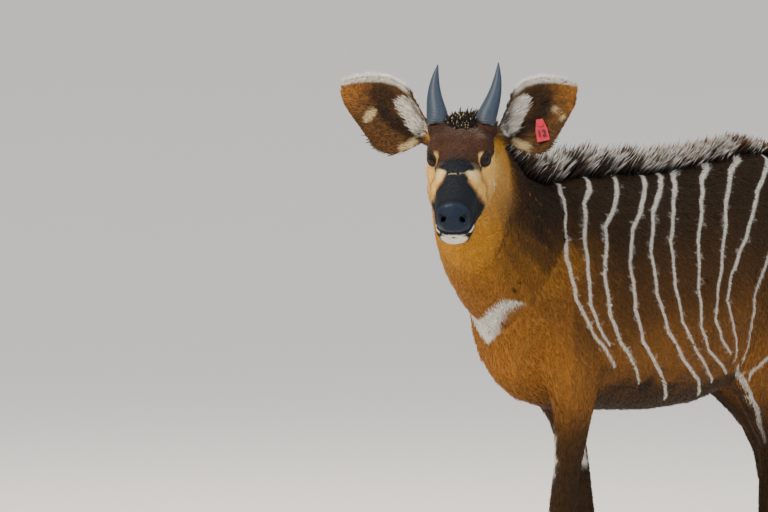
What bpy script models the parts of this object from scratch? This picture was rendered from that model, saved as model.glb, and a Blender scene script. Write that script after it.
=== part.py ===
"""A young bongo antelope, standing, as a life-size museum model.

Metres, +Z up. The animal faces -X and its left side is towards -Y. The body is lofted from the
named stations below, blended into one flesh, and parted where its parts are named. The hooves
stand on z = 0, and at the end everything is moved so that the box round the animal is centred
on the Z axis.
"""

import math
import random

import bmesh
import bpy
import numpy as np
from mathutils import Matrix, Vector
from mathutils.bvhtree import BVHTree

for old in list(bpy.data.objects):
    bpy.data.objects.remove(old, do_unlink=True)

# Driving dimensions
GAP = 0.0003
BODY_VOXEL = 0.0065
HEAD_VOXEL = 0.0038
BODY_TRIANGLES = 3900
HEAD_TRIANGLES = 2000
LEFT, RIGHT = -1, 1
SIDES = (("left", LEFT), ("right", RIGHT))

# Torso stations along the spine: x, top line z, belly line z, half width.
TORSO = [
    (-0.166, 0.770, 0.700, 0.022),
    (-0.152, 0.820, 0.634, 0.060),
    (-0.104, 0.910, 0.562, 0.096),
    (-0.035, 0.985, 0.532, 0.128),
    (0.050, 1.014, 0.516, 0.152),
    (0.180, 1.008, 0.508, 0.168),
    (0.320, 1.006, 0.500, 0.178),
    (0.450, 1.020, 0.512, 0.174),
    (0.570, 1.040, 0.556, 0.158),
    (0.670, 1.036, 0.650, 0.140),
    (0.750, 0.992, 0.730, 0.108),
    (0.795, 0.925, 0.800, 0.050),
]
WIDEST_AT = 0.46
TOP_POWER, BELLY_POWER, BRISKET_POWER = 1.75, 2.15, 1.60

# Neck stations from inside the chest to the head: x, y, z, half width, crest side, throat side.
NECK = [
    (0.020, 0.000, 0.850, 0.095, 0.130, 0.200),
    (-0.080, -0.004, 0.885, 0.102, 0.118, 0.210),
    (-0.180, -0.022, 0.945, 0.101, 0.094, 0.189),
    (-0.255, -0.050, 1.018, 0.087, 0.078, 0.157),
    (-0.310, -0.080, 1.074, 0.067, 0.054, 0.118),
]

# Leg stations from the body to the coronet: x from the leg's own line, z, distance from the
# midline, half width, half depth in front, half depth behind.
FORELEG = [
    (-0.020, 0.745, 0.086, 0.040, 0.052, 0.080),
    (-0.022, 0.650, 0.094, 0.048, 0.062, 0.072),
    (0.004, 0.565, 0.091, 0.043, 0.060, 0.056),
    (0.006, 0.480, 0.080, 0.034, 0.041, 0.042),
    (0.000, 0.400, 0.074, 0.028, 0.031, 0.032),
    (-0.006, 0.345, 0.072, 0.029, 0.032, 0.029),
    (-0.007, 0.305, 0.071, 0.027, 0.030, 0.027),
    (-0.002, 0.262, 0.070, 0.020, 0.020, 0.023),
    (0.000, 0.190, 0.070, 0.0175, 0.018, 0.021),
    (0.000, 0.135, 0.070, 0.021, 0.021, 0.027),
    (-0.004, 0.106, 0.070, 0.023, 0.022, 0.028),
    (-0.018, 0.074, 0.070, 0.020, 0.020, 0.022),
    (-0.030, 0.036, 0.070, 0.024, 0.026, 0.026),
]
HINDLEG = [
    (-0.025, 0.880, 0.066, 0.060, 0.110, 0.100),
    (-0.050, 0.760, 0.090, 0.070, 0.130, 0.122),
    (-0.070, 0.650, 0.097, 0.058, 0.108, 0.104),
    (-0.050, 0.555, 0.094, 0.042, 0.068, 0.078),
    (-0.004, 0.480, 0.088, 0.030, 0.042, 0.064),
    (0.034, 0.415, 0.084, 0.025, 0.032, 0.054),
    (0.046, 0.370, 0.083, 0.023, 0.029, 0.040),
    (0.044, 0.320, 0.082, 0.019, 0.023, 0.027),
    (0.034, 0.245, 0.082, 0.0175, 0.0185, 0.022),
    (0.026, 0.170, 0.082, 0.019, 0.019, 0.023),
    (0.020, 0.128, 0.082, 0.023, 0.022, 0.029),
    (0.006, 0.080, 0.082, 0.020, 0.020, 0.023),
    (-0.006, 0.036, 0.082, 0.024, 0.026, 0.026),
]
# Where each leg hangs from the body, how far its hoof is stepped from there, and the height at
# which the step begins.
LEG_X = {"fore": 0.000, "hind": 0.660}
STEP = {
    ("fore", LEFT): -0.010,
    ("fore", RIGHT): 0.244,
    ("hind", LEFT): -0.100,
    ("hind", RIGHT): 0.120,
}
STEP_FROM = 0.860
LEG_SHAPE = {"fore": FORELEG, "hind": HINDLEG}

# Head: its poll, the way the muzzle points, and its stations in the head's own axes.
POLL = Vector((-0.339, -0.094, 1.106))
HEAD_TURN, HEAD_DROP, HEAD_TILT = math.radians(38.8), math.radians(28), math.radians(-0.5)
# Skull stations: along the head, middle height, half width, above, below.
SKULL = [
    (-0.048, -0.034, 0.032, 0.030, 0.032),
    (-0.028, -0.026, 0.050, 0.046, 0.045),
    (0.000, -0.021, 0.060, 0.053, 0.052),
    (0.040, -0.018, 0.067, 0.057, 0.055),
    (0.080, -0.018, 0.067, 0.056, 0.055),
    (0.106, -0.020, 0.057, 0.052, 0.050),
    (0.130, -0.024, 0.048, 0.051, 0.042),
    (0.155, -0.029, 0.044, 0.050, 0.036),
    (0.180, -0.032, 0.042, 0.049, 0.032),
    (0.220, -0.037, 0.0400, 0.048, 0.029),
    (0.250, -0.039, 0.039, 0.045, 0.027),
    (0.274, -0.041, 0.037, 0.041, 0.024),
    (0.286, -0.042, 0.032, 0.032, 0.020),
    (0.292, -0.042, 0.021, 0.019, 0.013),
]
# Lower jaw stations, in the same axes.
JAW = [
    (0.000, -0.070, 0.041, 0.032, 0.030),
    (0.035, -0.078, 0.061, 0.040, 0.041),
    (0.075, -0.080, 0.068, 0.044, 0.044),
    (0.110, -0.079, 0.065, 0.041, 0.041),
    (0.145, -0.076, 0.056, 0.033, 0.036),
    (0.185, -0.075, 0.046, 0.025, 0.030),
    (0.225, -0.076, 0.037, 0.020, 0.026),
    (0.252, -0.078, 0.034, 0.019, 0.025),
    (0.270, -0.078, 0.030, 0.017, 0.022),
    (0.279, -0.076, 0.020, 0.011, 0.014),
]
# What swells the head on each side: its place and its radii, in the head's axes.
HEAD_SWELLINGS = [
    ("brow", (0.0783, 0.044, 0.011), (0.032, 0.019, 0.024)),
    ("pedicle", (-0.006, 0.047, 0.004), (0.031, 0.025, 0.031)),
    ("nose_wing", (0.270, 0.017, -0.034), (0.020, 0.019, 0.023)),
]
# Each cheek, from under the ear to the muzzle: along, to the side, height and radius.
CHEEK = [
    (-0.010, 0.036, -0.052, 0.018),
    (0.035, 0.042, -0.050, 0.026),
    (0.080, 0.042, -0.048, 0.027),
    (0.125, 0.035, -0.049, 0.025),
    (0.170, 0.025, -0.051, 0.021),
    (0.215, 0.017, -0.050, 0.018),
    (0.250, 0.012, -0.048, 0.015),
]
# Mouth line, from its corner to the lip's front: along, half width, height.
MOUTH = [
    (0.196, 0.0375, -0.0640),
    (0.222, 0.0375, -0.0690),
    (0.248, 0.0365, -0.0710),
    (0.266, 0.0320, -0.0712),
    (0.279, 0.0200, -0.0710),
    (0.284, 0.0000, -0.0705),
]
MOUTH_DEPTH, MOUTH_OPENING = 0.009, 0.0034
LIP_RADIUS = 0.0055
NOSTRIL_AT, NOSTRIL_RADII = (0.283, 0.0180, -0.030), (0.012, 0.0050, 0.0090)

EYE_AT = (0.1043, 0.0450, -0.0010)
EYE_RADIUS = 0.0175
EYE_WAY = (0.58, 0.74, 0.30)
LID_RADIUS, LID_SPREAD = 0.0034, (0.0154, 0.0137)
# The hollow in front of each eye: how far out, and its radii along the gaze, the slit and across.
ORBIT_OUT, ORBIT_RADII = 0.0195, (0.0120, 0.0150, 0.0130)

# Where a horn starts: along the head, to its side, and above.
HORN_AT = {LEFT: (-0.012, 0.0475, 0.028), RIGHT: (-0.012, 0.0500, 0.028)}
HORN_LENGTH = {LEFT: 0.111, RIGHT: 0.103}
HORN_BASE_RADIUS = {LEFT: 0.0210, RIGHT: 0.0225}
HORN_SUNK = 0.019
HORN_BACK = math.radians(40)
HORN_SPREAD = {LEFT: math.radians(11), RIGHT: math.radians(1)}
HORN_BOW = 0.007

EAR_AT = (-0.022, 0.077, -0.021)
EAR_LENGTH = {LEFT: 0.180, RIGHT: 0.198}
EAR_RAISE = {LEFT: math.radians(32), RIGHT: math.radians(28)}
EAR_BACK = 0.12
# Ear outline: share of the length, reach to the upper edge and to the lower edge.
EAR_OUTLINE = [
    (0.00, 0.021, 0.026),
    (0.10, 0.032, 0.056),
    (0.22, 0.050, 0.072),
    (0.36, 0.063, 0.074),
    (0.50, 0.067, 0.065),
    (0.64, 0.060, 0.051),
    (0.78, 0.046, 0.039),
    (0.90, 0.030, 0.025),
    (0.97, 0.017, 0.013),
]
EAR_CUP, EAR_WALL, EAR_COLUMNS = 0.036, 0.0045, 8
EAR_ROOT_RADIUS = 0.021
# Where the root runs on behind the cup, in the ear's own axes.
EAR_ROOT_PATH = [(-0.012, -0.004, -0.028), (0.016, -0.004, -0.034), (0.046, -0.003, -0.036)]

# Ear tag: where its stud goes through the ear and where its panel ends, as shares of the ear.
TAG_STUD_AT, TAG_FOOT_AT = (0.425, -0.20), (0.350, -0.56)
TAG_CLEAR, TAG_THICK = 0.0050, 0.0020
TAG_OUTLINE = [(0.0065, 0.009), (0.0120, -0.012), (0.0130, -0.036)]
STUD_RADIUS, BOSS_RADIUS = 0.0032, 0.0068

TAIL = [
    (0.745, 0.952, 0.027),
    (0.790, 0.936, 0.024),
    (0.822, 0.890, 0.019),
    (0.834, 0.820, 0.016),
    (0.837, 0.740, 0.015),
    (0.838, 0.660, 0.016),
    (0.839, 0.590, 0.020),
    (0.840, 0.520, 0.023),
    (0.840, 0.465, 0.015),
    (0.840, 0.445, 0.005),
]

# Mane along the crest: x, y, height of the hair.
MANE = [
    (-0.285, -0.066, 0.018),
    (-0.230, -0.044, 0.028),
    (-0.150, -0.020, 0.036),
    (-0.060, -0.005, 0.044),
    (0.060, 0.000, 0.047),
    (0.200, 0.000, 0.045),
    (0.350, 0.000, 0.040),
    (0.480, 0.000, 0.036),
    (0.590, 0.000, 0.030),
    (0.670, 0.000, 0.018),
]
MANE_LOCKS, MANE_WIDTH, MANE_THICK, MANE_SUNK = 48, 0.042, 0.010, 0.020
MANE_LEAN, MANE_BEND, MANE_SPLAY = 0.55, 0.34, 0.30
TUFT_LOCKS, TUFT_TOP, TUFT_BOTTOM = 12, 0.600, 0.452
FORELOCKS = 5

HOOF_TOP = 0.046
HOOF_LENGTH, HOOF_WIDTH, TOE_GAP = 0.074, 0.0265, 0.0035
DEWCLAW_Z, DEWCLAW_LENGTH = 0.082, 0.024

flesh_colours = {
    "coat": (0.30, 0.12, 0.030, 1.0),
    "dark_coat": (0.10, 0.045, 0.020, 1.0),
    "face": (0.13, 0.055, 0.028, 1.0),
    "horn": (0.10, 0.11, 0.14, 1.0),
    "hoof": (0.05, 0.045, 0.04, 1.0),
    "eye": (0.02, 0.012, 0.008, 1.0),
    "tag": (0.75, 0.05, 0.07, 1.0),
}


def finish(name, roughness):
    """A plain material in one of the animal's colours."""
    material = bpy.data.materials.new(name)
    material.use_nodes = True
    shader = material.node_tree.nodes["Principled BSDF"]
    shader.inputs["Base Color"].default_value = flesh_colours[name]
    shader.inputs["Roughness"].default_value = roughness
    material.diffuse_color = flesh_colours[name]
    return material


MATERIALS = {
    "coat": finish("coat", 0.6),
    "dark_coat": finish("dark_coat", 0.6),
    "face": finish("face", 0.6),
    "horn": finish("horn", 0.4),
    "hoof": finish("hoof", 0.4),
    "eye": finish("eye", 0.05),
    "tag": finish("tag", 0.35),
}


def smooth_stations(stations, count):
    """Reads a smooth curve through the stations, evenly by its length, in every column."""
    rows = np.array(stations, float)
    steps = np.linalg.norm(np.diff(rows[:, :3], axis=0), axis=1)
    at = np.concatenate([[0], np.cumsum(steps)])
    slopes = np.gradient(rows, at, axis=0)
    wanted = np.linspace(0, at[-1], count)
    index = np.clip(np.searchsorted(at, wanted, side="right") - 1, 0, len(at) - 2)
    width = (at[index + 1] - at[index])[:, None]
    t = ((wanted - at[index])[:, None]) / width
    start, end = rows[index], rows[index + 1]
    leave, arrive = slopes[index] * width, slopes[index + 1] * width
    return (
        start * (1 + 2 * t) * (1 - t) ** 2
        + leave * t * (1 - t) ** 2
        + end * t * t * (3 - 2 * t)
        + arrive * t * t * (t - 1)
    )


def ring(centre, side, up, half_width, above, below, around, powers=(2.0, 2.0)):
    """One closed cross-section: half_width to each side, above and below the middle."""
    points = []
    for step in range(around):
        angle = 2 * math.pi * step / around
        across, rise = math.cos(angle), math.sin(angle)
        power = 2.0 / (powers[0] if rise > 0 else powers[1])
        reach = above if rise > 0 else below
        points.append(
            centre
            + side * (math.copysign(abs(across) ** power, across) * half_width)
            + up * (math.copysign(abs(rise) ** power, rise) * reach)
        )
    return points


def skin_rings(rings, name):
    """Bridges the rings into one closed tube with rounded ends and faces pointing out."""
    mesh = bmesh.new()
    made = [[mesh.verts.new(p) for p in loop] for loop in rings]
    for low, high in zip(made, made[1:]):
        for k in range(len(low)):
            n = (k + 1) % len(low)
            mesh.faces.new((low[k], low[n], high[n], high[k]))
    for loop in (made[0], made[-1]):
        middle = mesh.verts.new(sum((v.co for v in loop), Vector()) / len(loop))
        for k in range(len(loop)):
            mesh.faces.new((loop[k], loop[(k + 1) % len(loop)], middle))
    bmesh.ops.recalc_face_normals(mesh, faces=mesh.faces)
    bmesh.ops.triangulate(mesh, faces=mesh.faces)
    data = bpy.data.meshes.new(name)
    mesh.to_mesh(data)
    mesh.free()
    return link(name, data)


def link(name, data):
    made = bpy.data.objects.new(name, data)
    bpy.context.scene.collection.objects.link(made)
    return made


def tube(name, stations, count, around):
    """A tube along stations of x, y, z, half width, above and below, with upright rings."""
    rows = smooth_stations(stations, count)
    path = [Vector(r[:3]) for r in rows]
    rings = []
    for k, row in enumerate(rows):
        along = (path[min(k + 1, count - 1)] - path[max(k - 1, 0)]).normalized()
        side = along.cross(Vector((0, 0, 1)))
        side = side.normalized() if side.length > 0.3 else Vector((0, -1, 0))
        up = side.cross(along).normalized()
        rings.append(ring(path[k], side, up, row[3], row[4], row[5], around))
    return skin_rings(rings, name)


def torso_tube():
    rows = smooth_stations([(x, 0, 0, top, low, half) for x, top, low, half in TORSO], 30)
    rings = []
    for x, _, _, top, low, half in rows:
        middle = low + (top - low) * WIDEST_AT
        fullness = min(1.0, max(0.0, (x + 0.12) / 0.30))
        belly = BRISKET_POWER + (BELLY_POWER - BRISKET_POWER) * fullness
        rings.append(
            ring(
                Vector((x, 0, middle)),
                Vector((0, 1, 0)),
                Vector((0, 0, 1)),
                half,
                top - middle,
                middle - low,
                32,
                (TOP_POWER, belly),
            )
        )
    return skin_rings(rings, "torso_form")


def mane_locks(flesh):
    """Locks along the crest that lean forward, splayed to the left and the right in turn."""
    chance = random.Random(11)
    flesh_tree = BVHTree.FromObject(flesh, bpy.context.evaluated_depsgraph_get())
    rows = smooth_stations([(x, y, 0, h) for x, y, h in MANE], MANE_LOCKS)
    locks = []
    for k, (x, y, _, height) in enumerate(rows):
        side = (1, -1, 0)[k % 3]
        ahead = rows[min(k + 1, MANE_LOCKS - 1)] - rows[max(k - 1, 0)]
        forward = -Vector((ahead[0], ahead[1], 0)).normalized()
        above, down = Vector((x, y + side * 0.004, 2.0)), Vector((0, 0, -1))
        foot = flesh_tree.ray_cast(above, down)[0]
        tall = height * chance.uniform(0.86, 1.12)
        splay = Vector((-forward.y, forward.x, 0)) * (side * MANE_SPLAY * chance.uniform(0.6, 1.3))
        way = Vector((0, 0, 1)) + forward * (MANE_LEAN * chance.uniform(0.8, 1.2)) + splay
        locks.append(
            lock(
                foot,
                way,
                forward * MANE_BEND,
                forward,
                tall * way.length,
                MANE_WIDTH * chance.uniform(0.85, 1.1),
                MANE_THICK,
                MANE_SUNK,
            )
        )
    return locks


def leg_step(kind, side, z):
    """How far a leg is swung from its own line at a height: nothing above STEP_FROM."""
    share = min(1.0, max(0.0, (STEP_FROM - z) / STEP_FROM))
    return STEP[kind, side] * math.sin(share * math.pi / 2)


def leg_tube(kind, side):
    """A leg from its stations; its rings stay square to the bone."""
    rows = smooth_stations(
        [
            (LEG_X[kind] + x + leg_step(kind, side, z), side * off, z, half, front, back)
            for x, z, off, half, front, back in LEG_SHAPE[kind]
        ],
        30,
    )
    path = [Vector(r[:3]) for r in rows]
    rings = []
    for k, row in enumerate(rows):
        along = (path[min(k + 1, 29)] - path[max(k - 1, 0)]).normalized()
        across = Vector((0, 1, 0))
        back = across.cross(along).normalized()
        if back.x < 0:
            back.negate()
        rings.append(ring(path[k], across, back, row[3], row[5], row[4], 20))
    return skin_rings(rings, f"{kind}_form")


def head_axes():
    """The head's own axes as a matrix: first along the muzzle, then to its left, then up."""
    heading = Vector((-math.cos(HEAD_TURN), -math.sin(HEAD_TURN), 0))
    along = heading * math.cos(HEAD_DROP) - Vector((0, 0, math.sin(HEAD_DROP)))
    to_left = Vector((math.sin(HEAD_TURN), -math.cos(HEAD_TURN), 0))
    up = along.cross(to_left).normalized()
    if up.z < 0:
        up.negate()
    roll = Matrix.Rotation(HEAD_TILT, 3, along)
    to_left, up = roll @ to_left, roll @ up
    return Matrix((along, to_left, up)).transposed()


HEAD_AXES = head_axes()


def in_head(along, left, up):
    return POLL + HEAD_AXES @ Vector((along, left, up))


def head_way(along, left, up):
    return (HEAD_AXES @ Vector((along, left, up))).normalized()


def head_tube(name, stations, powers):
    rows = smooth_stations([(a, 0, u, half, above, below) for a, u, half, above, below in stations], 24)
    side, up = head_way(0, 1, 0), head_way(0, 0, 1)
    rings = [
        ring(in_head(a, 0, u), side, up, half, above, below, 24, powers)
        for a, _, u, half, above, below in rows
    ]
    return skin_rings(rings, name)


def ball(name, centre, radii, axes=None, segments=14, rings=9):
    """An ellipsoid with its radii along the given axes."""
    mesh = bmesh.new()
    bmesh.ops.create_uvsphere(mesh, u_segments=segments, v_segments=rings, radius=1.0)
    turn = (axes or Matrix.Identity(3)).to_4x4()
    place = Matrix.Translation(centre) @ turn @ Matrix.Diagonal((*radii, 1.0))
    bmesh.ops.transform(mesh, matrix=place, verts=mesh.verts)
    bmesh.ops.recalc_face_normals(mesh, faces=mesh.faces)
    data = bpy.data.meshes.new(name)
    mesh.to_mesh(data)
    mesh.free()
    return link(name, data)


def evaluated(obj):
    """The object's mesh with its modifiers applied, as a plain mesh."""
    graph = bpy.context.evaluated_depsgraph_get()
    return bpy.data.meshes.new_from_object(obj.evaluated_get(graph))


def apply_modifiers(obj):
    fresh = evaluated(obj)
    old = obj.data
    obj.modifiers.clear()
    obj.data = fresh
    bpy.data.meshes.remove(old)
    return obj


def join(objects, name):
    """Joins closed meshes into one object, still as separate shells."""
    mesh = bmesh.new()
    for obj in objects:
        mesh.from_mesh(obj.data)
    data = bpy.data.meshes.new(name)
    mesh.to_mesh(data)
    mesh.free()
    for obj in objects:
        bpy.data.objects.remove(obj, do_unlink=True)
    return link(name, data)


def blend_flesh(objects, name, voxel, smoothing, triangles):
    """Melts overlapping forms into one skin, eases the folds between them, and thins it."""
    flesh = join(objects, name)
    remesh = flesh.modifiers.new("melt", "REMESH")
    remesh.mode = "VOXEL"
    remesh.voxel_size = voxel
    apply_modifiers(flesh)
    group = flesh.vertex_groups.new(name="ease")
    for vertex in flesh.data.vertices:
        group.add([vertex.index], smoothing(vertex.co), "REPLACE")
    ease = flesh.modifiers.new("ease", "SMOOTH")
    ease.factor = 0.6
    ease.iterations = 22
    ease.vertex_group = "ease"
    thin = flesh.modifiers.new("thin", "DECIMATE")
    thin.ratio = triangles / (2 * len(flesh.data.polygons))
    thin.use_collapse_triangulate = True
    return apply_modifiers(flesh)


def body_easing(point):
    """Strong easing where the limbs meet the trunk, light on the thin lower legs."""
    return min(1.0, max(0.06, (point.z - 0.42) / 0.16))


def head_easing(_point):
    return 0.35


def boolean(obj, other, operation, solver="EXACT"):
    """Applies one Boolean with another object, or with a collection of objects."""
    step = obj.modifiers.new("boolean", "BOOLEAN")
    step.operation = operation
    step.solver = solver
    if isinstance(other, bpy.types.Collection):
        step.operand_type = "COLLECTION"
        step.collection = other
    else:
        step.object = other
    return apply_modifiers(obj)


def largest_shell(obj):
    """Keeps only the largest closed surface of the mesh, by volume."""
    mesh = bmesh.new()
    mesh.from_mesh(obj.data)
    bmesh.ops.remove_doubles(mesh, verts=mesh.verts, dist=1e-6)
    bmesh.ops.triangulate(mesh, faces=mesh.faces)
    mesh.verts.ensure_lookup_table()
    seen, shells = set(), []
    for start in mesh.verts:
        if start.index in seen:
            continue
        shell, open_list = [], [start]
        seen.add(start.index)
        while open_list:
            vertex = open_list.pop()
            shell.append(vertex)
            for edge in vertex.link_edges:
                other = edge.other_vert(vertex)
                if other.index not in seen:
                    seen.add(other.index)
                    open_list.append(other)
        faces = {f for v in shell for f in v.link_faces}
        volume = sum(f.verts[0].co.dot(f.verts[1].co.cross(f.verts[2].co)) for f in faces) / 6
        shells.append((volume, shell))
    shells.sort(key=lambda pair: pair[0])
    for _volume, shell in shells[:-1]:
        bmesh.ops.delete(mesh, geom=shell, context="VERTS")
    mesh.to_mesh(obj.data)
    mesh.free()
    return obj


def duplicate(obj, name):
    copy = obj.copy()
    copy.data = obj.data.copy()
    copy.name = name
    bpy.context.scene.collection.objects.link(copy)
    return copy


def prism(name, outline, low_x, high_x, shrink=0.0):
    """A block along X with a convex outline in Y and Z, drawn in by shrink on every face."""
    middle = sum((Vector(p) for p in outline), Vector((0, 0))) / len(outline)
    drawn_in = []
    for k, corner in enumerate(outline):
        before, point, after = Vector(outline[k - 1]), Vector(corner), Vector(outline[(k + 1) % len(outline)])
        lines = []
        for start, end in ((before, point), (point, after)):
            normal = Vector((-(end - start).y, (end - start).x)).normalized()
            if normal.dot(middle - start) < 0:
                normal.negate()
            lines.append((normal, normal.dot(start) + shrink))
        (n1, d1), (n2, d2) = lines
        spread = n1.x * n2.y - n1.y * n2.x
        drawn_in.append(((d1 * n2.y - d2 * n1.y) / spread, (n1.x * d2 - n2.x * d1) / spread))
    rings = [
        [Vector((x, y, z)) for y, z in drawn_in]
        for x in (low_x + shrink, high_x - shrink)
    ]
    return skin_rings(rings, name)


def block(name, centre, axes, size, shrink=0.0):
    """A block of the given size, turned to the given axes."""
    mesh = bmesh.new()
    bmesh.ops.create_cube(mesh, size=1.0)
    scale = Matrix.Diagonal((*(s - 2 * shrink for s in size), 1.0))
    bmesh.ops.transform(mesh, matrix=Matrix.Translation(centre) @ axes.to_4x4() @ scale, verts=mesh.verts)
    data = bpy.data.meshes.new(name)
    mesh.to_mesh(data)
    mesh.free()
    return link(name, data)


def remove(*objects):
    for obj in objects:
        bpy.data.objects.remove(obj, do_unlink=True)


def dress(obj, name, material):
    obj.name = name
    obj.data.name = name
    obj.data.materials.clear()
    obj.data.materials.append(MATERIALS[material])
    obj.data.shade_smooth()
    obj.data.set_sharp_from_angle(angle=math.radians(50))
    return obj


# Where the body is parted. Each region is a block, and the two sides keep GAP between them.
def plane_block(name, point, normal, size, shrink=0.0):
    """A block that starts at a plane through the point and reaches along its normal."""
    normal = Vector(normal).normalized()
    side = Vector((0, 1, 0)) if abs(normal.y) < 0.9 else Vector((1, 0, 0))
    side = (side - normal * side.dot(normal)).normalized()
    axes = Matrix((normal, side, normal.cross(side))).transposed()
    return block(name, Vector(point) + normal * size[0] / 2, axes, size, shrink)


def leg_region(name, kind, side, shrink=0.0):
    inner, reach = (0.500, 0.900) if kind == "fore" else (0.560, 1.060)
    low = LEG_X[kind] - (0.150 if kind == "fore" else 0.225)
    high = LEG_X[kind] + max(STEP[kind, side], 0) + (0.090 if kind == "fore" else 0.250)
    corners = [(0.012, HOOF_TOP), (0.35, HOOF_TOP), (0.35, reach), (0.012, inner)]
    return prism(name, [(side * y, z) for y, z in corners], low, high, shrink)


NECK_CUT_POINT, NECK_CUT_WAY = (-0.105, 0, 0.830), (-0.88, -0.05, 0.46)
HEAD_CUT_POINT = in_head(-0.048, 0, -0.045)
HEAD_CUT_WAY = (Vector((-0.62, -0.42, 0.20)) + head_way(1, 0, 0.2) * 0.4).normalized()


def neck_region(name, shrink=0.0):
    return plane_block(name, NECK_CUT_POINT, NECK_CUT_WAY, (0.9, 0.7, 0.9), shrink)


def head_region(name, shrink=0.0):
    return plane_block(name, HEAD_CUT_POINT, HEAD_CUT_WAY, (0.8, 0.8, 0.8), shrink)


def part_off(source, region, name):
    """The share of the source inside the region."""
    piece = duplicate(source, name)
    boolean(piece, region, "INTERSECT")
    remove(region)
    return largest_shell(piece)


def cut_away(source, region):
    boolean(source, region, "DIFFERENCE")
    remove(region)
    return source


def lock(root, way, bend, flat, length, width, thick, sunk):
    """A flat lock of hair: starts sunk below its root, bends over and tapers to a tip."""
    way = way.normalized()
    flat = (flat - way * flat.dot(way)).normalized()
    rings = []
    for share, wide in ((0.0, 0.80), (0.48, 1.0), (0.80, 0.66)):
        reach = -sunk + (length + sunk) * share
        middle = root + way * reach + bend * (share * share * length)
        edge = flat * (width * wide / 2)
        face = way.cross(flat).normalized() * (thick * wide / 2)
        rings.append([middle + edge, middle + face, middle - edge, middle - face])
    tip = root + way * length + bend * length
    mesh = bmesh.new()
    made = [[mesh.verts.new(p) for p in loop] for loop in rings]
    for low, high in zip(made, made[1:]):
        for k in range(4):
            n = (k + 1) % 4
            mesh.faces.new((low[k], low[n], high[n], high[k]))
    end = mesh.verts.new(tip)
    for k in range(4):
        mesh.faces.new((made[-1][k], made[-1][(k + 1) % 4], end))
    mesh.faces.new(made[0])
    bmesh.ops.recalc_face_normals(mesh, faces=mesh.faces)
    bmesh.ops.triangulate(mesh, faces=mesh.faces)
    data = bpy.data.meshes.new("lock")
    mesh.to_mesh(data)
    mesh.free()
    return link("lock", data)


def fuse(node, locks):
    """Fuses the locks into the node they grow from, with one union over a collection."""
    gathered = bpy.data.collections.new("locks")
    bpy.context.scene.collection.children.link(gathered)
    for piece in locks:
        bpy.context.scene.collection.objects.unlink(piece)
        gathered.objects.link(piece)
    boolean(node, gathered, "UNION")
    remove(*locks)
    bpy.data.collections.remove(gathered)
    return largest_shell(node)


def path_tube(name, path, radii, around=8, flat=None, grow=0.0):
    """A round tube along a list of points, with a radius for each, grown on every side."""
    path = list(path)
    path[0] = path[0] + (path[0] - path[1]).normalized() * grow
    path[-1] = path[-1] + (path[-1] - path[-2]).normalized() * grow
    radii = [radius + grow for radius in radii]
    rings = []
    last = None
    for k, point in enumerate(path):
        along = (path[min(k + 1, len(path) - 1)] - path[max(k - 1, 0)]).normalized()
        guide = last or flat or (Vector((0, 0, 1)) if abs(along.z) < 0.9 else Vector((1, 0, 0)))
        side = (guide - along * guide.dot(along)).normalized()
        last = side
        rings.append(ring(point, side, along.cross(side), radii[k], radii[k], radii[k], around))
    return skin_rings(rings, name)


def cheek_form(side):
    """The full cheek that joins the upper face to the jaw."""
    path = [in_head(a, -side * s, u) for a, s, u, _radius in CHEEK]
    return path_tube("cheek", path, [row[3] for row in CHEEK], 14, head_way(0, 0, 1))


def mouth_path(count=15, inset=0.0):
    """Points along the mouth line from the left corner round the lips to the right corner."""
    rows = smooth_stations(MOUTH, (count + 1) // 2)
    half = [(a, max(w - inset, 0.0), u) for a, w, u in rows]
    left = [in_head(a - inset * (1 - w / 0.036), w, u) for a, w, u in half]
    right = [in_head(a - inset * (1 - w / 0.036), -w, u) for a, w, u in half[-2::-1]]
    return left + right


def mouth_cutter():
    """A horseshoe wedge that opens the line between the lips."""
    outer, inner = mouth_path(inset=-0.006), mouth_path(inset=MOUTH_DEPTH)
    up = head_way(0, 0, 1) * (MOUTH_OPENING / 2)
    rings = [[o + up, o - up, i - up * 0.15, i + up * 0.15] for o, i in zip(outer, inner)]
    return skin_rings(rings, "mouth_cut")


def eye_centre(side):
    a, s, u = EYE_AT
    return in_head(a, -side * s, u)


def eye_axes(side):
    """Axes of an eye: the way it looks, then along the slit of the lids, then across it."""
    a, s, u = EYE_WAY
    way = head_way(a, -side * s, u)
    slit = head_way(1, 0, -0.16)
    slit = (slit - way * slit.dot(way)).normalized()
    return Matrix((way, slit, way.cross(slit))).transposed()


def lid_ring(side):
    """Both lids as one ring of skin that hugs the eyeball."""
    axes, count = eye_axes(side), 18
    wide, high = LID_SPREAD
    rings = []
    for k in range(count):
        angle = 2 * math.pi * k / count
        across = Vector((0, math.cos(angle) * wide, math.sin(angle) * high))
        across.x = math.sqrt(EYE_RADIUS**2 - across.length_squared)
        outward = across.normalized()
        slide = Vector((1, 0, 0)).cross(outward).normalized().cross(outward).normalized()
        centre = outward * (EYE_RADIUS + LID_RADIUS * 0.2)
        loop = []
        for j in range(6):
            turn = 2 * math.pi * j / 6
            point = centre + (outward * math.cos(turn) + slide * math.sin(turn)) * LID_RADIUS
            loop.append(eye_centre(side) + axes @ point)
        rings.append(loop)
    mesh = bmesh.new()
    made = [[mesh.verts.new(p) for p in loop] for loop in rings]
    for k in range(count):
        low, high_ring = made[k], made[(k + 1) % count]
        for j in range(6):
            n = (j + 1) % 6
            mesh.faces.new((low[j], low[n], high_ring[n], high_ring[j]))
    bmesh.ops.recalc_face_normals(mesh, faces=mesh.faces)
    bmesh.ops.triangulate(mesh, faces=mesh.faces)
    data = bpy.data.meshes.new("lids")
    mesh.to_mesh(data)
    mesh.free()
    return link("lids", data)


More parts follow.
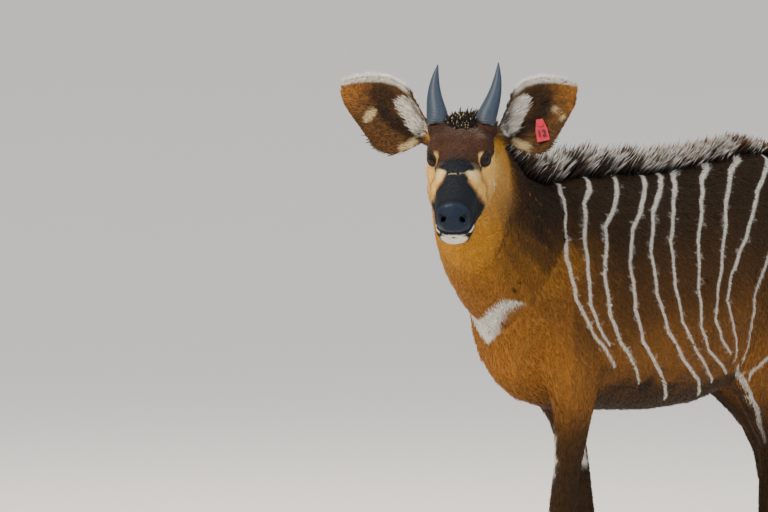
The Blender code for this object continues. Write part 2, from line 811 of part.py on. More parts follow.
def horn_form(side, grow=0.0):
    """A short, nearly straight horn that bows outwards and tapers to a blunt point."""
    a, s, u = HORN_AT[side]
    spread = HORN_SPREAD[side]
    way = head_way(-math.sin(HORN_BACK), -side * math.tan(spread), math.cos(HORN_BACK))
    out = head_way(0, -side, 0)
    base = in_head(a, -side * s, u)
    path, radii = [], []
    length = HORN_LENGTH[side]
    for share in (-HORN_SUNK / length, 0.0, 0.16, 0.34, 0.52, 0.70, 0.86, 0.96, 1.0):
        bow = out * (HORN_BOW * math.sin(math.pi * max(share, 0)))
        path.append(base + way * (length * share) + bow)
        taper = HORN_BASE_RADIUS[side] * (1 - max(share, 0)) ** 0.72 * (1 - 0.10 * max(share, 0))
        radii.append(max(taper, 0.0012))
    return path_tube("horn", path, radii, 14, head_way(1, 0, 0), grow)


def ear_axes(side):
    """Axes of an ear: root to tip, then towards its upper edge, then out of its cup."""
    heading = Vector((-math.cos(HEAD_TURN), -math.sin(HEAD_TURN), 0))
    outward = Vector((math.sin(HEAD_TURN), -math.cos(HEAD_TURN), 0)) * -side
    raise_by = EAR_RAISE[side]
    tip = (outward * math.cos(raise_by) + Vector((0, 0, math.sin(raise_by))) - heading * EAR_BACK).normalized()
    edge = Vector((0, 0, 1)) - outward * 0.3
    edge = (edge - tip * edge.dot(tip)).normalized()
    cup = edge.cross(tip)
    if cup.dot(heading) < 0:
        cup.negate()
    return Matrix((tip, edge, cup)).transposed()


def ear_point(side, share, across, back=0.0):
    """A point on the ear: share of its length, -1 to 1 from its lower to its upper edge."""
    rows = EAR_OUTLINE
    k = max(i for i in range(len(rows) - 1) if rows[i][0] <= share or i == 0)
    t = min(1.0, (share - rows[k][0]) / (rows[k + 1][0] - rows[k][0]))
    upper = rows[k][1] + (rows[k + 1][1] - rows[k][1]) * t
    lower = rows[k][2] + (rows[k + 1][2] - rows[k][2]) * t
    reach = upper if across > 0 else lower
    closing = 1.0 - 0.75 * share
    depth = EAR_CUP * closing * (across * across - 0.75)
    a, s, u = EAR_AT
    root = in_head(a, -side * s, u)
    local = Vector((share * EAR_LENGTH[side], reach * math.sin(across * math.pi / 2), depth - back))
    return root + ear_axes(side) @ local


def ear_form(side):
    """The cup of an ear: a curved leaf with a wall, and a solid root that plugs into the head."""
    shares = [row[0] for row in EAR_OUTLINE]
    acrosses = [-1 + 2 * k / EAR_COLUMNS for k in range(EAR_COLUMNS + 1)]
    mesh = bmesh.new()
    front = [[mesh.verts.new(ear_point(side, s, v)) for v in acrosses] for s in shares]
    rear = [[mesh.verts.new(ear_point(side, s, v, EAR_WALL)) for v in acrosses] for s in shares]
    tip_front = mesh.verts.new(ear_point(side, 1.0, 0.0))
    tip_rear = mesh.verts.new(ear_point(side, 1.0, 0.0, EAR_WALL * 0.6))
    for i in range(len(shares) - 1):
        for j in range(EAR_COLUMNS):
            for grid in (front, rear):
                mesh.faces.new((grid[i][j], grid[i][j + 1], grid[i + 1][j + 1]))
                mesh.faces.new((grid[i][j], grid[i + 1][j + 1], grid[i + 1][j]))
        for j in (0, EAR_COLUMNS):
            mesh.faces.new((front[i][j], front[i + 1][j], rear[i + 1][j], rear[i][j]))
    for j in range(EAR_COLUMNS):
        mesh.faces.new((front[0][j], front[0][j + 1], rear[0][j + 1], rear[0][j]))
        mesh.faces.new((front[-1][j], front[-1][j + 1], tip_front))
        mesh.faces.new((rear[-1][j], rear[-1][j + 1], tip_rear))
    for j in (0, EAR_COLUMNS):
        mesh.faces.new((front[-1][j], tip_front, tip_rear, rear[-1][j]))
    bmesh.ops.recalc_face_normals(mesh, faces=mesh.faces)
    bmesh.ops.triangulate(mesh, faces=mesh.faces)
    data = bpy.data.meshes.new("ear")
    mesh.to_mesh(data)
    mesh.free()
    return fuse(link("ear", data), [ear_root(side)])


def ear_root(side, grow=0.0):
    """The gristly root of an ear, from inside the head to the foot of the cup."""
    a, s, u = EAR_AT
    start = in_head(a + 0.006, -side * 0.036, u - 0.010)
    foot = in_head(a, -side * s, u)
    behind = [foot + ear_axes(side) @ Vector(p) for p in EAR_ROOT_PATH]
    path = [start, start.lerp(behind[0], 0.5)] + behind
    radii = [EAR_ROOT_RADIUS * f for f in (0.80, 0.95, 1.0, 0.80, 0.42)]
    return path_tube("ear_root", path, radii, 14, grow=grow)


def rod(name, start, end, radius, around=10, grow=0.0):
    return path_tube(name, [start, end], [radius, radius], around, grow=grow)


def tag_places():
    """Where the tag goes through the ear, the way down its panel, and the way it faces."""
    out = ear_axes(LEFT) @ Vector((0, 0, 1))
    stud = ear_point(LEFT, *TAG_STUD_AT)
    foot = ear_point(LEFT, *TAG_FOOT_AT)
    down = (foot - stud).normalized()
    out = (out - down * out.dot(down)).normalized()
    return stud, down, out


def tag_shaft(grow=0.0):
    stud, _down, out = tag_places()
    rear, front = stud - out * (EAR_WALL + 0.006), stud + out * (TAG_CLEAR + 0.001)
    return rod("shaft", rear, front, STUD_RADIUS, grow=grow)


def tag_panel():
    """The plate of the ear tag with its boss and the shaft that goes through the ear."""
    stud, down, out = tag_places()
    across = down.cross(out)
    rings = []
    for lift in (TAG_CLEAR, TAG_CLEAR + TAG_THICK):
        corners = [(-w, h) for w, h in TAG_OUTLINE] + [(w, h) for w, h in reversed(TAG_OUTLINE)]
        rings.append([stud + out * lift + across * w - down * h for w, h in corners])
    plate = skin_rings(rings, "plate")
    boss_foot = stud + out * (TAG_CLEAR + TAG_THICK * 0.5)
    boss = rod("boss", boss_foot, boss_foot + out * 0.0035, BOSS_RADIUS, 14)
    return fuse(plate, [boss, tag_shaft()])


def tag_stud():
    """The round button behind the ear that holds the tag's shaft."""
    stud, _down, out = tag_places()
    near = stud - out * (EAR_WALL + 0.0022)
    button = rod("button", near, near - out * 0.0055, BOSS_RADIUS, 14)
    return cut_away(button, tag_shaft(GAP))


def hoof_form(kind, side, toe):
    """One toe of a cloven hoof, flat below, its wall sloping forward from the coronet."""
    foot_x = LEG_X[kind] + LEG_SHAPE[kind][-1][0] + STEP[kind, side]
    middle_y = side * LEG_SHAPE[kind][-1][2]
    outline = []
    for k in range(12):
        angle = 2 * math.pi * k / 12
        forward = -math.cos(angle)
        width = abs(math.sin(angle)) ** 0.8 * math.copysign(1, math.sin(angle))
        outline.append((forward, width))
    rings = []
    for z, length, width, shift in (
        (0.0, 0.92, 0.92, -0.010),
        (0.006, 1.0, 1.0, -0.011),
        (0.024, 0.88, 0.96, -0.005),
        (HOOF_TOP - GAP, 0.68, 0.86, 0.001),
    ):
        y0 = middle_y + toe * (TOE_GAP + HOOF_WIDTH * 0.92) / 2
        rings.append(
            [
                Vector(
                    (
                        foot_x + shift + forward * length * HOOF_LENGTH / 2,
                        y0 + across * width * HOOF_WIDTH / 2 * 0.92,
                        z,
                    )
                )
                for forward, across in outline
            ]
        )
    return skin_rings(rings, "hoof")


def dewclaws(kind, side):
    """The two small claws behind a fetlock."""
    x0 = LEG_X[kind] + leg_step(kind, side, DEWCLAW_Z) + (0.006 if kind == "fore" else 0.026)
    y0 = side * LEG_SHAPE[kind][-3][2]
    claws = []
    for toe in (-1, 1):
        top = Vector((x0 + 0.000, y0 + toe * 0.011, DEWCLAW_Z + 0.014))
        tip = top + Vector((0.020, toe * 0.006, -DEWCLAW_LENGTH))
        claws.append(path_tube("claw", [top, top.lerp(tip, 0.6), tip], [0.0080, 0.0085, 0.0045], 7))
    return claws


def tail_form(grow=0.0):
    rows = smooth_stations([(x, 0, z, r) for x, z, r in TAIL], 14)
    path, radii = [Vector(r[:3]) for r in rows], [r[3] for r in rows]
    return path_tube("tail", path, radii, 10, Vector((0, 1, 0)), grow)


def tuft_locks():
    """Locks round the lower third of the tail that hang down past its end."""
    chance = random.Random(5)
    rows = smooth_stations([(x, 0, z, r) for x, z, r in TAIL], 40)
    locks = []
    for k in range(TUFT_LOCKS):
        share = k / (TUFT_LOCKS - 1)
        z = TUFT_TOP + (TUFT_BOTTOM - TUFT_TOP) * share
        row = min(rows, key=lambda r: abs(r[2] - z))
        angle = k * 2.4 + chance.uniform(-0.2, 0.2)
        out = Vector((math.cos(angle), math.sin(angle), 0))
        root = Vector((row[0], 0, z)) + out * (row[3] * 0.55)
        way = Vector((0, 0, -1)) + out * 0.26
        length = chance.uniform(0.070, 0.090) * (1 - 0.25 * share)
        locks.append(lock(root, way, out * -0.16, out.cross(way), length, 0.026, 0.010, 0.014))
    return locks


def forelocks():
    """The short dark tuft on the crown, between the horns."""
    chance = random.Random(3)
    locks = []
    for k in range(FORELOCKS):
        across = (k / (FORELOCKS - 1) - 0.5) * 0.046
        root = in_head(-0.006 + chance.uniform(-0.010, 0.008), across, 0.026)
        way = head_way(-0.55 + chance.uniform(-0.3, 0.2), across * 8, 1)
        locks.append(
            lock(root, way, head_way(-1, 0, 0) * 0.2, head_way(0, 1, 0), 0.022, 0.016, 0.006, 0.010)
        )
    return locks


# The body
flesh_forms = [torso_tube(), tube("neck_form", NECK, 22, 28)]
for _word, side in SIDES:
    flesh_forms += [leg_tube("fore", side), leg_tube("hind", side)]
body = blend_flesh(flesh_forms, "body_flesh", BODY_VOXEL, body_easing, BODY_TRIANGLES)
fuse(body, mane_locks(body))

# The head
head_forms = [
    tube("neck_top", NECK, 22, 28),
    head_tube("skull", SKULL, (2.2, 2.2)),
    head_tube("jaw", JAW, (2.0, 2.2)),
]
for _word, side in SIDES:
    for name, (a, s, u), radii in HEAD_SWELLINGS:
        head_forms.append(ball(name, in_head(a, -side * s, u), radii, HEAD_AXES))
    head_forms += [cheek_form(side), ear_root(side)]
for lift in (LIP_RADIUS * 0.75, -LIP_RADIUS * 0.75):
    lip = [p + head_way(0, 0, lift) * abs(lift) for p in mouth_path(17, 0.002)]
    head_forms.append(path_tube("lip", lip, [LIP_RADIUS] * len(lip), 8, head_way(0, 0, 1)))
head_flesh = blend_flesh(head_forms, "head_flesh", HEAD_VOXEL, head_easing, HEAD_TRIANGLES)

neck = part_off(body, neck_region("neck_block", GAP), "neck")
cut_away(neck, head_region("head_block"))
head = part_off(head_flesh, head_region("head_block", GAP), "head")
remove(head_flesh)
for word, side in SIDES:
    for kind in ("fore", "hind"):
        leg = part_off(body, leg_region("leg_block", kind, side, GAP), f"{kind}leg_{word}")
        fuse(leg, dewclaws(kind, side))
        dress(leg, f"{kind}leg_{word}", "coat")
cut_away(body, neck_region("neck_block"))
for _word, side in SIDES:
    for kind in ("fore", "hind"):
        cut_away(body, leg_region("leg_block", kind, side))
cut_away(body, tail_form(GAP))
torso = dress(largest_shell(body), "torso", "coat")
dress(fuse(tail_form(), tuft_locks()), "tail", "dark_coat")

# The face, the ears, the horns and the eyes
for _word, side in SIDES:
    before_eye = eye_centre(side) + eye_axes(side) @ Vector((ORBIT_OUT, 0, 0))
    cut_away(head, ball("orbit", before_eye, ORBIT_RADII, eye_axes(side)))
fuse(head, [lid_ring(side) for _word, side in SIDES] + forelocks())
cut_away(head, mouth_cutter())
for word, side in SIDES:
    a, s, u = NOSTRIL_AT
    slant = Matrix.Rotation(side * math.radians(-28), 3, "X")
    cut_away(head, ball("nostril", in_head(a, -side * s, u), NOSTRIL_RADII, HEAD_AXES @ slant, 10, 6))
    cut_away(head, ball("socket", eye_centre(side), [EYE_RADIUS + GAP] * 3, eye_axes(side)))
    cut_away(head, horn_form(side, GAP))
    cut_away(head, ear_root(side, GAP))
    dress(ball("eye", eye_centre(side), [EYE_RADIUS] * 3, eye_axes(side)), f"eye_{word}", "eye")
    dress(horn_form(side), f"horn_{word}", "horn")
    ear = ear_form(side)
    if side == LEFT:
        cut_away(ear, tag_shaft(GAP))
    cut_away(neck, ear_root(side, GAP))
    dress(ear, f"ear_{word}", "coat")
    for kind in ("fore", "hind"):
        for toe, which in ((-side, "inner"), (side, "outer")):
            dress(hoof_form(kind, side, toe), f"hoof_{kind}_{word}_{which}", "hoof")
dress(largest_shell(head), "head", "face")
dress(largest_shell(neck), "neck", "coat")
dress(tag_panel(), "tag_panel", "tag")
dress(tag_stud(), "tag_stud", "tag")

# The whole animal is moved so that its box is centred on the Z axis.
corners = [v.co for obj in bpy.data.objects if obj.type == "MESH" for v in obj.data.vertices]
middle_x = (min(c.x for c in corners) + max(c.x for c in corners)) / 2
middle_y = (min(c.y for c in corners) + max(c.y for c in corners)) / 2
for obj in bpy.data.objects:
    obj.data.transform(Matrix.Translation((-middle_x, -middle_y, 0)))
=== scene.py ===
# %% [markdown]
# # A young bongo antelope
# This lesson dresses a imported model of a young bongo, a striped forest antelope, standing with its
# head turned to look at us. The solids already have its shape. Here they get a skin, a coat of
# many small tufts, a mane, glossy eyes, horn, hoof and the plastic tag in its ear. Everything is
# in metres, the animal faces -X, and its left side is towards -Y.

import math

import bmesh
import bpy
import numpy as np
from mathutils import Matrix, Vector
from mathutils.bvhtree import BVHTree


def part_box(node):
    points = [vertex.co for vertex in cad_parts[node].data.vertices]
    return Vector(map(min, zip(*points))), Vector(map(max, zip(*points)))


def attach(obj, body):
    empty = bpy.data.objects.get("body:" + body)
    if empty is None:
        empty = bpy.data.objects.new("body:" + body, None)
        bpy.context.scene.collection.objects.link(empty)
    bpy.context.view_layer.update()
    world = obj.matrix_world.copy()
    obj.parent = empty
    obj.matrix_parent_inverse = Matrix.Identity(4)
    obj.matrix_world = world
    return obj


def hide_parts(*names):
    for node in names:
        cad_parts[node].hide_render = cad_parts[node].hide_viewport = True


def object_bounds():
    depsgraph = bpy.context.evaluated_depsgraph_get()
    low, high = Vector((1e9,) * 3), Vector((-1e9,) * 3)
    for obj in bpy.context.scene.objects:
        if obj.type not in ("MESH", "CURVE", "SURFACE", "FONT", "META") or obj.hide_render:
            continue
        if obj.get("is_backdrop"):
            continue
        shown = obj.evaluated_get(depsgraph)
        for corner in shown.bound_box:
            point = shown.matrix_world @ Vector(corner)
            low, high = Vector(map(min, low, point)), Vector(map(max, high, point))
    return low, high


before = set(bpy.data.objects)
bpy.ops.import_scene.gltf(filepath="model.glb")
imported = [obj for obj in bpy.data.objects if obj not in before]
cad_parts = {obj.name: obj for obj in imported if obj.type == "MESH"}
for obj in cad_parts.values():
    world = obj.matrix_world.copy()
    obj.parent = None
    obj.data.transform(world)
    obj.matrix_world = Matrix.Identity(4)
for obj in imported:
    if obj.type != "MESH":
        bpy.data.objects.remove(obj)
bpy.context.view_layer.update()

# %% [markdown]
# A few small helpers carry the whole script. One turns the hex colours that people write into the
# linear numbers that a renderer adds up. One adds a node to a node tree with its settings and
# links, which keeps every tree short to read. Others pass points between meshes and arrays, and
# soft steps mix one value into the next.


# %% Helpers
def linear(hex_colour):
    """sRGB hex to linear red, green, blue and alpha."""
    parts = [int(hex_colour[k : k + 2], 16) / 255 for k in (1, 3, 5)]
    return [c / 12.92 if c <= 0.04045 else ((c + 0.055) / 1.055) ** 2.4 for c in parts] + [1.0]


def plug(tree, node, inputs):
    """Sets a node's inputs: to a value, or linked from a socket or from a node's output in use."""
    for name, value in inputs.items():
        by_name = (s for s in node.inputs if s.enabled and s.name == name)
        socket = node.inputs[name] if isinstance(name, int) else next(by_name)
        if isinstance(value, bpy.types.Node):
            value = next(s for s in value.outputs if s.enabled)
        if isinstance(value, bpy.types.NodeSocket):
            tree.links.new(value, socket)
        else:
            socket.default_value = value


def add(tree, kind, inputs=None, **settings):
    """Adds a node with its settings, then its inputs."""
    made = tree.nodes.new(kind)
    for name, value in settings.items():
        setattr(made, name, value)
    plug(tree, made, inputs or {})
    return made


def new_object(name, mesh, *materials):
    made = bpy.data.objects.new(name, mesh)
    bpy.context.scene.collection.objects.link(made)
    for material in materials:
        mesh.materials.append(material)
    return made


def from_arrays(name, points, faces):
    mesh = bpy.data.meshes.new(name)
    mesh.from_pydata([tuple(p) for p in points], [], [tuple(int(i) for i in f) for f in faces])
    mesh.update()
    return mesh


def vertex_array(mesh, what="co"):
    flat = np.zeros(len(mesh.vertices) * 3)
    source = mesh.vertices if what == "co" else mesh.vertex_normals
    source.foreach_get("co" if what == "co" else "vector", flat)
    return flat.reshape(-1, 3)


def evaluated_mesh(obj):
    graph = bpy.context.evaluated_depsgraph_get()
    return bpy.data.meshes.new_from_object(obj.evaluated_get(graph))


def modified(obj):
    """Applies the object's modifiers, so that it is a plain mesh again."""
    fresh = evaluated_mesh(obj)
    obj.modifiers.clear()
    obj.data = fresh
    return obj


def triangle_count(mesh):
    return sum(len(p.vertices) - 2 for p in mesh.polygons)


def smoothstep(value, low, high):
    t = np.clip((value - low) / (high - low), 0, 1)
    return t * t * (3 - 2 * t)


def fade(value, low, high):
    """The other way round: 1 up to low, and 0 from high on."""
    return 1 - smoothstep(value, low, high)


def shade_smooth(mesh):
    mesh.polygons.foreach_set("use_smooth", [True] * len(mesh.polygons))


# %% [markdown]
# The markings and the lie of the hair are worked out in the animal's own frame, whose zero is on
# the floor between the shoulders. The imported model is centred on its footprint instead, so the
# shift between the two is read from the eyes, whose place in the head is known. The head has axes
# of its own: along the muzzle, to its left, and up out of the forehead.

# %% The animal's own frame
POLL = np.array([-0.339, -0.094, 1.106])
HEAD_TURN, HEAD_DROP, HEAD_TILT = math.radians(38.8), math.radians(28), math.radians(-0.5)
EYE_AT, EYE_RADIUS, EYE_WAY = (0.1043, 0.0450, -0.0010), 0.0175, (0.58, 0.74, 0.30)
LEFT, RIGHT = -1, 1
SIDES = (("left", LEFT), ("right", RIGHT))


def head_axes():
    heading = Vector((-math.cos(HEAD_TURN), -math.sin(HEAD_TURN), 0))
    along = heading * math.cos(HEAD_DROP) - Vector((0, 0, math.sin(HEAD_DROP)))
    to_left = Vector((math.sin(HEAD_TURN), -math.cos(HEAD_TURN), 0))
    up = along.cross(to_left).normalized()
    up = up if up.z > 0 else -up
    roll = Matrix.Rotation(HEAD_TILT, 3, along)
    return np.array([along, roll @ to_left, roll @ up])


HEAD_AXES = head_axes()
eye_boxes = [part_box(f"eye_{word}") for word, _side in SIDES]
eye_middle = np.array(sum((low + high for low, high in eye_boxes), Vector())) / 4
SHIFT = eye_middle - (POLL + HEAD_AXES[0] * EYE_AT[0] + HEAD_AXES[2] * EYE_AT[2])
SHIFT[2] = 0.0
print("shift of the packed model:", SHIFT.round(4))


def in_head(points):
    """Points of the animal's frame in the head's axes: along, left, up."""
    return (points - POLL) @ HEAD_AXES.T


def from_head(along, left, up):
    """A place in the head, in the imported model's frame."""
    return Vector(POLL + np.array([along, left, up]) @ HEAD_AXES + SHIFT)


# %% [markdown]
# One skin stands for all the flesh, so that no seam shows where the solids are parted. The solids
# are joined, the locks of the mane, the tail and the crown are pressed down to what they grow
# from, and a voxel remesh melts everything into one surface. A fine voxel keeps the face, and the
# Decimate modifier then thins only the body, which needs fewer faces.

# %% The skin's raw mesh
FLESH = ["head", "neck", "torso", "tail"] + [f"{k}leg_{w}" for k in ("fore", "hind") for w, _ in SIDES]
EARS = ["ear_left", "ear_right"]
# The crest that the mane grows from, as seen from above.
CREST = np.array(
    [(-0.330, -0.094), (-0.285, -0.066), (-0.230, -0.044), (-0.150, -0.020), (-0.060, -0.005)]
    + [(x, 0.0) for x in (0.060, 0.200, 0.350, 0.480, 0.590, 0.700)]
)
CREST_REACH, CREST_SWELL, CREST_STATIONS = 0.046, 0.013, 90
TAIL_MIDDLE = np.array([0.839, 0.0])
TAIL_CORE, TAIL_LOCKS, TUFT_FROM = 0.0125, 0.055, 0.66
SKIN_VOXEL = 0.0023


def crest_frame(points):
    """For each point: distance along the crest and to its side, and the nearest crest point."""
    best = np.full(len(points), 1e9)
    along, across = np.zeros(len(points)), np.zeros(len(points))
    walked = 0.0
    for start, end in zip(CREST, CREST[1:]):
        step = end - start
        length = np.linalg.norm(step)
        t = np.clip(((points[:, :2] - start) @ step) / length**2, 0, 1)
        off = points[:, :2] - (start + t[:, None] * step)
        distance = np.linalg.norm(off, axis=1)
        near = distance < best
        best[near] = distance[near]
        along[near] = (walked + t * length)[near]
        across[near] = ((off[:, 1] * step[0] - off[:, 0] * step[1]) / length)[near]
        walked += length
    return along, across, best


def merged_copy(name):
    """A solid's mesh with its loose triangles joined up into quads, so that it can be smoothed."""
    mesh = bmesh.new()
    mesh.from_mesh(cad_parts[name].data)
    bmesh.ops.remove_doubles(mesh, verts=mesh.verts, dist=1e-5)
    bmesh.ops.join_triangles(
        mesh, faces=mesh.faces, angle_face_threshold=0.7, angle_shape_threshold=0.7
    )
    data = bpy.data.meshes.new(name + "_copy")
    mesh.to_mesh(data)
    mesh.free()
    data.materials.clear()
    return data


def subdivided(name, levels):
    made = new_object(name + "_smooth", merged_copy(name))
    rounder = made.modifiers.new("rounder", "SUBSURF")
    rounder.levels = rounder.render_levels = levels
    data = modified(made).data
    bpy.data.objects.remove(made)
    return data


def joined_flesh():
    mesh = bmesh.new()
    for name in FLESH:
        mesh.from_mesh(merged_copy(name))
    for name in EARS:
        mesh.from_mesh(subdivided(name, 2))
    data = bpy.data.meshes.new("skin")
    mesh.to_mesh(data)
    mesh.free()
    return data


def press_locks(data):
    """Moves every point of a lock down to the surface that it grows from."""
    tree = BVHTree.FromPolygons([v.co for v in data.vertices], [p.vertices for p in data.polygons])
    points = vertex_array(data) - SHIFT
    walk = np.concatenate([[0], np.cumsum(np.linalg.norm(np.diff(CREST, axis=0), axis=1))])
    stations = np.linspace(0, walk[-1], CREST_STATIONS)
    middle = np.stack([np.interp(stations, walk, CREST[:, k]) for k in (0, 1)], axis=1)
    heading = np.gradient(middle, axis=0)
    heading /= np.linalg.norm(heading, axis=1)[:, None]
    beside = np.stack([-heading[:, 1], heading[:, 0]], axis=1) * CREST_REACH
    edges = []
    for k in range(len(stations)):
        heights = []
        for side in (-1, 1):
            x, y = middle[k] + side * beside[k]
            hit = tree.ray_cast(Vector((x + SHIFT[0], y + SHIFT[1], 2.0)), Vector((0, 0, -1)))[0]
            heights.append(hit.z if hit else 0.9)
        edges.append(sum(heights) / 2)
    edges = np.convolve(np.pad(edges, 4, "edge"), np.ones(9) / 9, "valid")
    along, _across, distance = crest_frame(points)
    roof = np.interp(along, stations, edges) + CREST_SWELL * (1 - (distance / CREST_REACH) ** 1.8)
    crest = (distance < CREST_REACH) & (points[:, 2] > roof) & (in_head(points)[:, 0] < -0.035)
    points[crest, 2] = roof[crest]
    crown = in_head(points)
    forelock = (np.abs(crown[:, 1]) < 0.036) & (np.abs(crown[:, 0]) < 0.045) & (crown[:, 2] > 0.031)
    crown[forelock, 2] = 0.031
    points[forelock] = crown[forelock] @ HEAD_AXES + POLL
    out = points[:, :2] - TAIL_MIDDLE
    reach = np.linalg.norm(out, axis=1)[:, None]
    tail = (reach[:, 0] < TAIL_LOCKS) & (points[:, 2] < TUFT_FROM)
    pressed = TAIL_MIDDLE + out / np.maximum(reach, 1e-6) * np.minimum(reach, TAIL_CORE)
    points[tail, :2] = pressed[tail]
    data.vertices.foreach_set("co", (points + SHIFT).ravel())
    return data


skin = new_object("skin", press_locks(joined_flesh()))
melt = skin.modifiers.new("melt", "REMESH")
melt.mode, melt.voxel_size = "VOXEL", SKIN_VOXEL
modified(skin)
print("skin, raw:", len(skin.data.polygons), "faces")

# %% [markdown]
# A bongo has ten or so thin white stripes down each side. Seen from the side each is a leaning
# line of a few points, in millimetres back from the shoulders and up from the floor.

# %% The stripes
def wave(points, size, start=0.0):
    """Slow waves through space, from -1 to 1, about size metres long."""
    x, y, z = points.T * (2 * math.pi / size)
    first = np.sin(x + 0.6 * y + 1.3 + start)
    second = np.sin(1.3 * z - 0.4 * x + 0.7 + 2 * start)
    third = np.sin(1.7 * y + 0.5 * z + 2.1 + 3 * start)
    return (first + second + third) / 3


def polyline(points, line):
    """Distance from points in a plane to a line of points, and the share along it."""
    line = np.array(line)
    best, share = np.full(len(points), 9.0), np.zeros(len(points))
    for k, (start, end) in enumerate(zip(line, line[1:])):
        step = end - start
        t = np.clip(((points - start) @ step) / (step @ step), 0, 1)
        distance = np.linalg.norm(points - start - t[:, None] * step, axis=1)
        near = distance < best
        best[near], share[near] = distance[near], (k + t[near]) / (len(line) - 1)
    return best, share


STRIPE_LINES = [
    [(40, 1060), (4, 983), (-33, 905), (-42, 841), (-35, 755), (9, 682), (50, 646), (84, 609)],
    [(130, 1060), (85, 988), (35, 946), (4, 872), (-3, 798), (-2, 743), (20, 697), (54, 657)],
    [(250, 1060), (176, 992), (65, 898), (36, 806), (43, 725), (80, 662), (125, 619), (168, 572)],
    [(340, 1060), (264, 992), (136, 889), (104, 826), (110, 726), (142, 658),
     (190, 612), (233, 573), (281, 530)],
    [(400, 1060), (329, 998), (216, 923), (170, 845), (169, 758), (206, 678),
     (271, 611), (342, 566), (390, 530)],
    [(500, 1060), (422, 1014), (355, 993), (288, 936), (235, 862), (221, 776),
     (242, 698), (289, 640), (394, 559)],
    [(560, 1065), (507, 1028), (415, 979), (371, 933), (314, 858), (289, 762),
     (300, 683), (338, 630), (431, 576)],
    [(650, 1075), (624, 1048), (508, 992), (441, 930), (381, 835), (346, 749),
     (341, 697), (373, 651), (415, 619)],
    [(700, 1055), (659, 1025), (551, 948), (470, 863), (397, 789), (377, 734), (404, 677), (445, 606)],
    [(735, 1010), (660, 950), (580, 870), (520, 805), (470, 741), (470, 662), (480, 592)],
    [(466, 587), (503, 544), (552, 483), (594, 418)],
    [(600, 630), (541, 600), (506, 572), (506, 555)],
    [(775, 995), (720, 930), (680, 885), (665, 862), (680, 845), (730, 842), (775, 840)],
]
STRIPES = [np.array(line) / 1000 for line in STRIPE_LINES]
STRIPE_HALF_WIDTH, STRIPE_EDGE, STRIPE_WANDER = 0.0041, 0.0010, 0.0014
STRIPE_CLOSE, STRIPE_FAR, STRIPE_CROP = 0.0015, 0.0090, 0.50
# The far side's stripes are not a mirror image: each stands a little before or behind.
FAR_SIDE_SHIFTS = [0.010 * math.sin(2.3 * k + 0.5) for k in range(len(STRIPES))]


def stripe_reach(points):
    """How far each place is from the middle of the nearest stripe, less the stripe's half width."""
    wander = np.stack([wave(points, 0.05), wave(points, 0.06, 2)], axis=1)
    flank = points[:, (0, 2)] + STRIPE_WANDER * wander
    far = points[:, 1] > 0
    nearest = np.full(len(points), 9.0)
    for line, shift in zip(STRIPES, FAR_SIDE_SHIFTS):
        moved = flank.copy()
        moved[far, 0] -= shift
        distance, share = polyline(moved, line)
        half = STRIPE_HALF_WIDTH * (1 - 0.45 * share**3)
        nearest = np.minimum(nearest, distance - half)
    return nearest


def beside_stripe(points):
    """1 on a stripe and close beside it, and 0 from STRIPE_FAR on."""
    return fade(stripe_reach(points), STRIPE_CLOSE, STRIPE_FAR)


def stripe_share(points, normals):
    """How white a place is, from 0 to 1."""
    facing = smoothstep(normals[:, 1] * np.sign(points[:, 1]), -0.15, 0.10)
    return facing * fade(stripe_reach(points), -STRIPE_EDGE, STRIPE_EDGE)


# %% [markdown]
# The remesh copies the solids' flat facets and steps, so the skin is smoothed before it is thinned.
# The face keeps its lids, lips and nostrils by being smoothed less, and the feet their shape. Each
# point then learns which solid it lies on, which decides how long the hair is and how it lies.

# %% The skin, smoothed and thinned
SKIN_TRIANGLES = 100000
LONGEST_EDGE, EDGE_BY_STRIPE, STRIPE_ZONE, HALVINGS = 0.0200, 0.0060, 0.0040, 7
BODY_PARTS = ["torso", "neck", "head", "tail", "leg", "ear"]


def part_mask(parts, name):
    """Which points lie on parts of this name."""
    return parts == BODY_PARTS.index(name)


def owner_tree():
    """A search tree over the flesh solids, with the kind of part that owns each of its faces."""
    points, faces, owners = [], [], []
    for name in FLESH + EARS:
        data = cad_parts[name].data
        base = len(points)
        points += [v.co.copy() for v in data.vertices]
        faces += [[i + base for i in p.vertices] for p in data.polygons]
        kind = next(k for k, part in enumerate(BODY_PARTS) if part in name)
        owners += [kind] * len(data.polygons)
    return BVHTree.FromPolygons(points, faces), np.array(owners)


def neighbours_mean(values, edges, count):
    """The mean of each point's neighbours, for any number of columns."""
    total = np.zeros_like(values)
    for k in range(values.shape[1]):
        total[:, k] = np.bincount(edges[:, 0], values[edges[:, 1], k], count)
        total[:, k] += np.bincount(edges[:, 1], values[edges[:, 0], k], count)
    met = np.bincount(edges.ravel(), minlength=count)
    return total / np.maximum(met, 1)[:, None]


def edge_array(mesh):
    flat = np.zeros(len(mesh.edges) * 2, int)
    mesh.edges.foreach_get("vertices", flat)
    return flat.reshape(-1, 2)


def parts_of(points, tree, owners):
    found = [tree.find_nearest(Vector(p))[2] for p in points]
    return owners[np.array(found)]


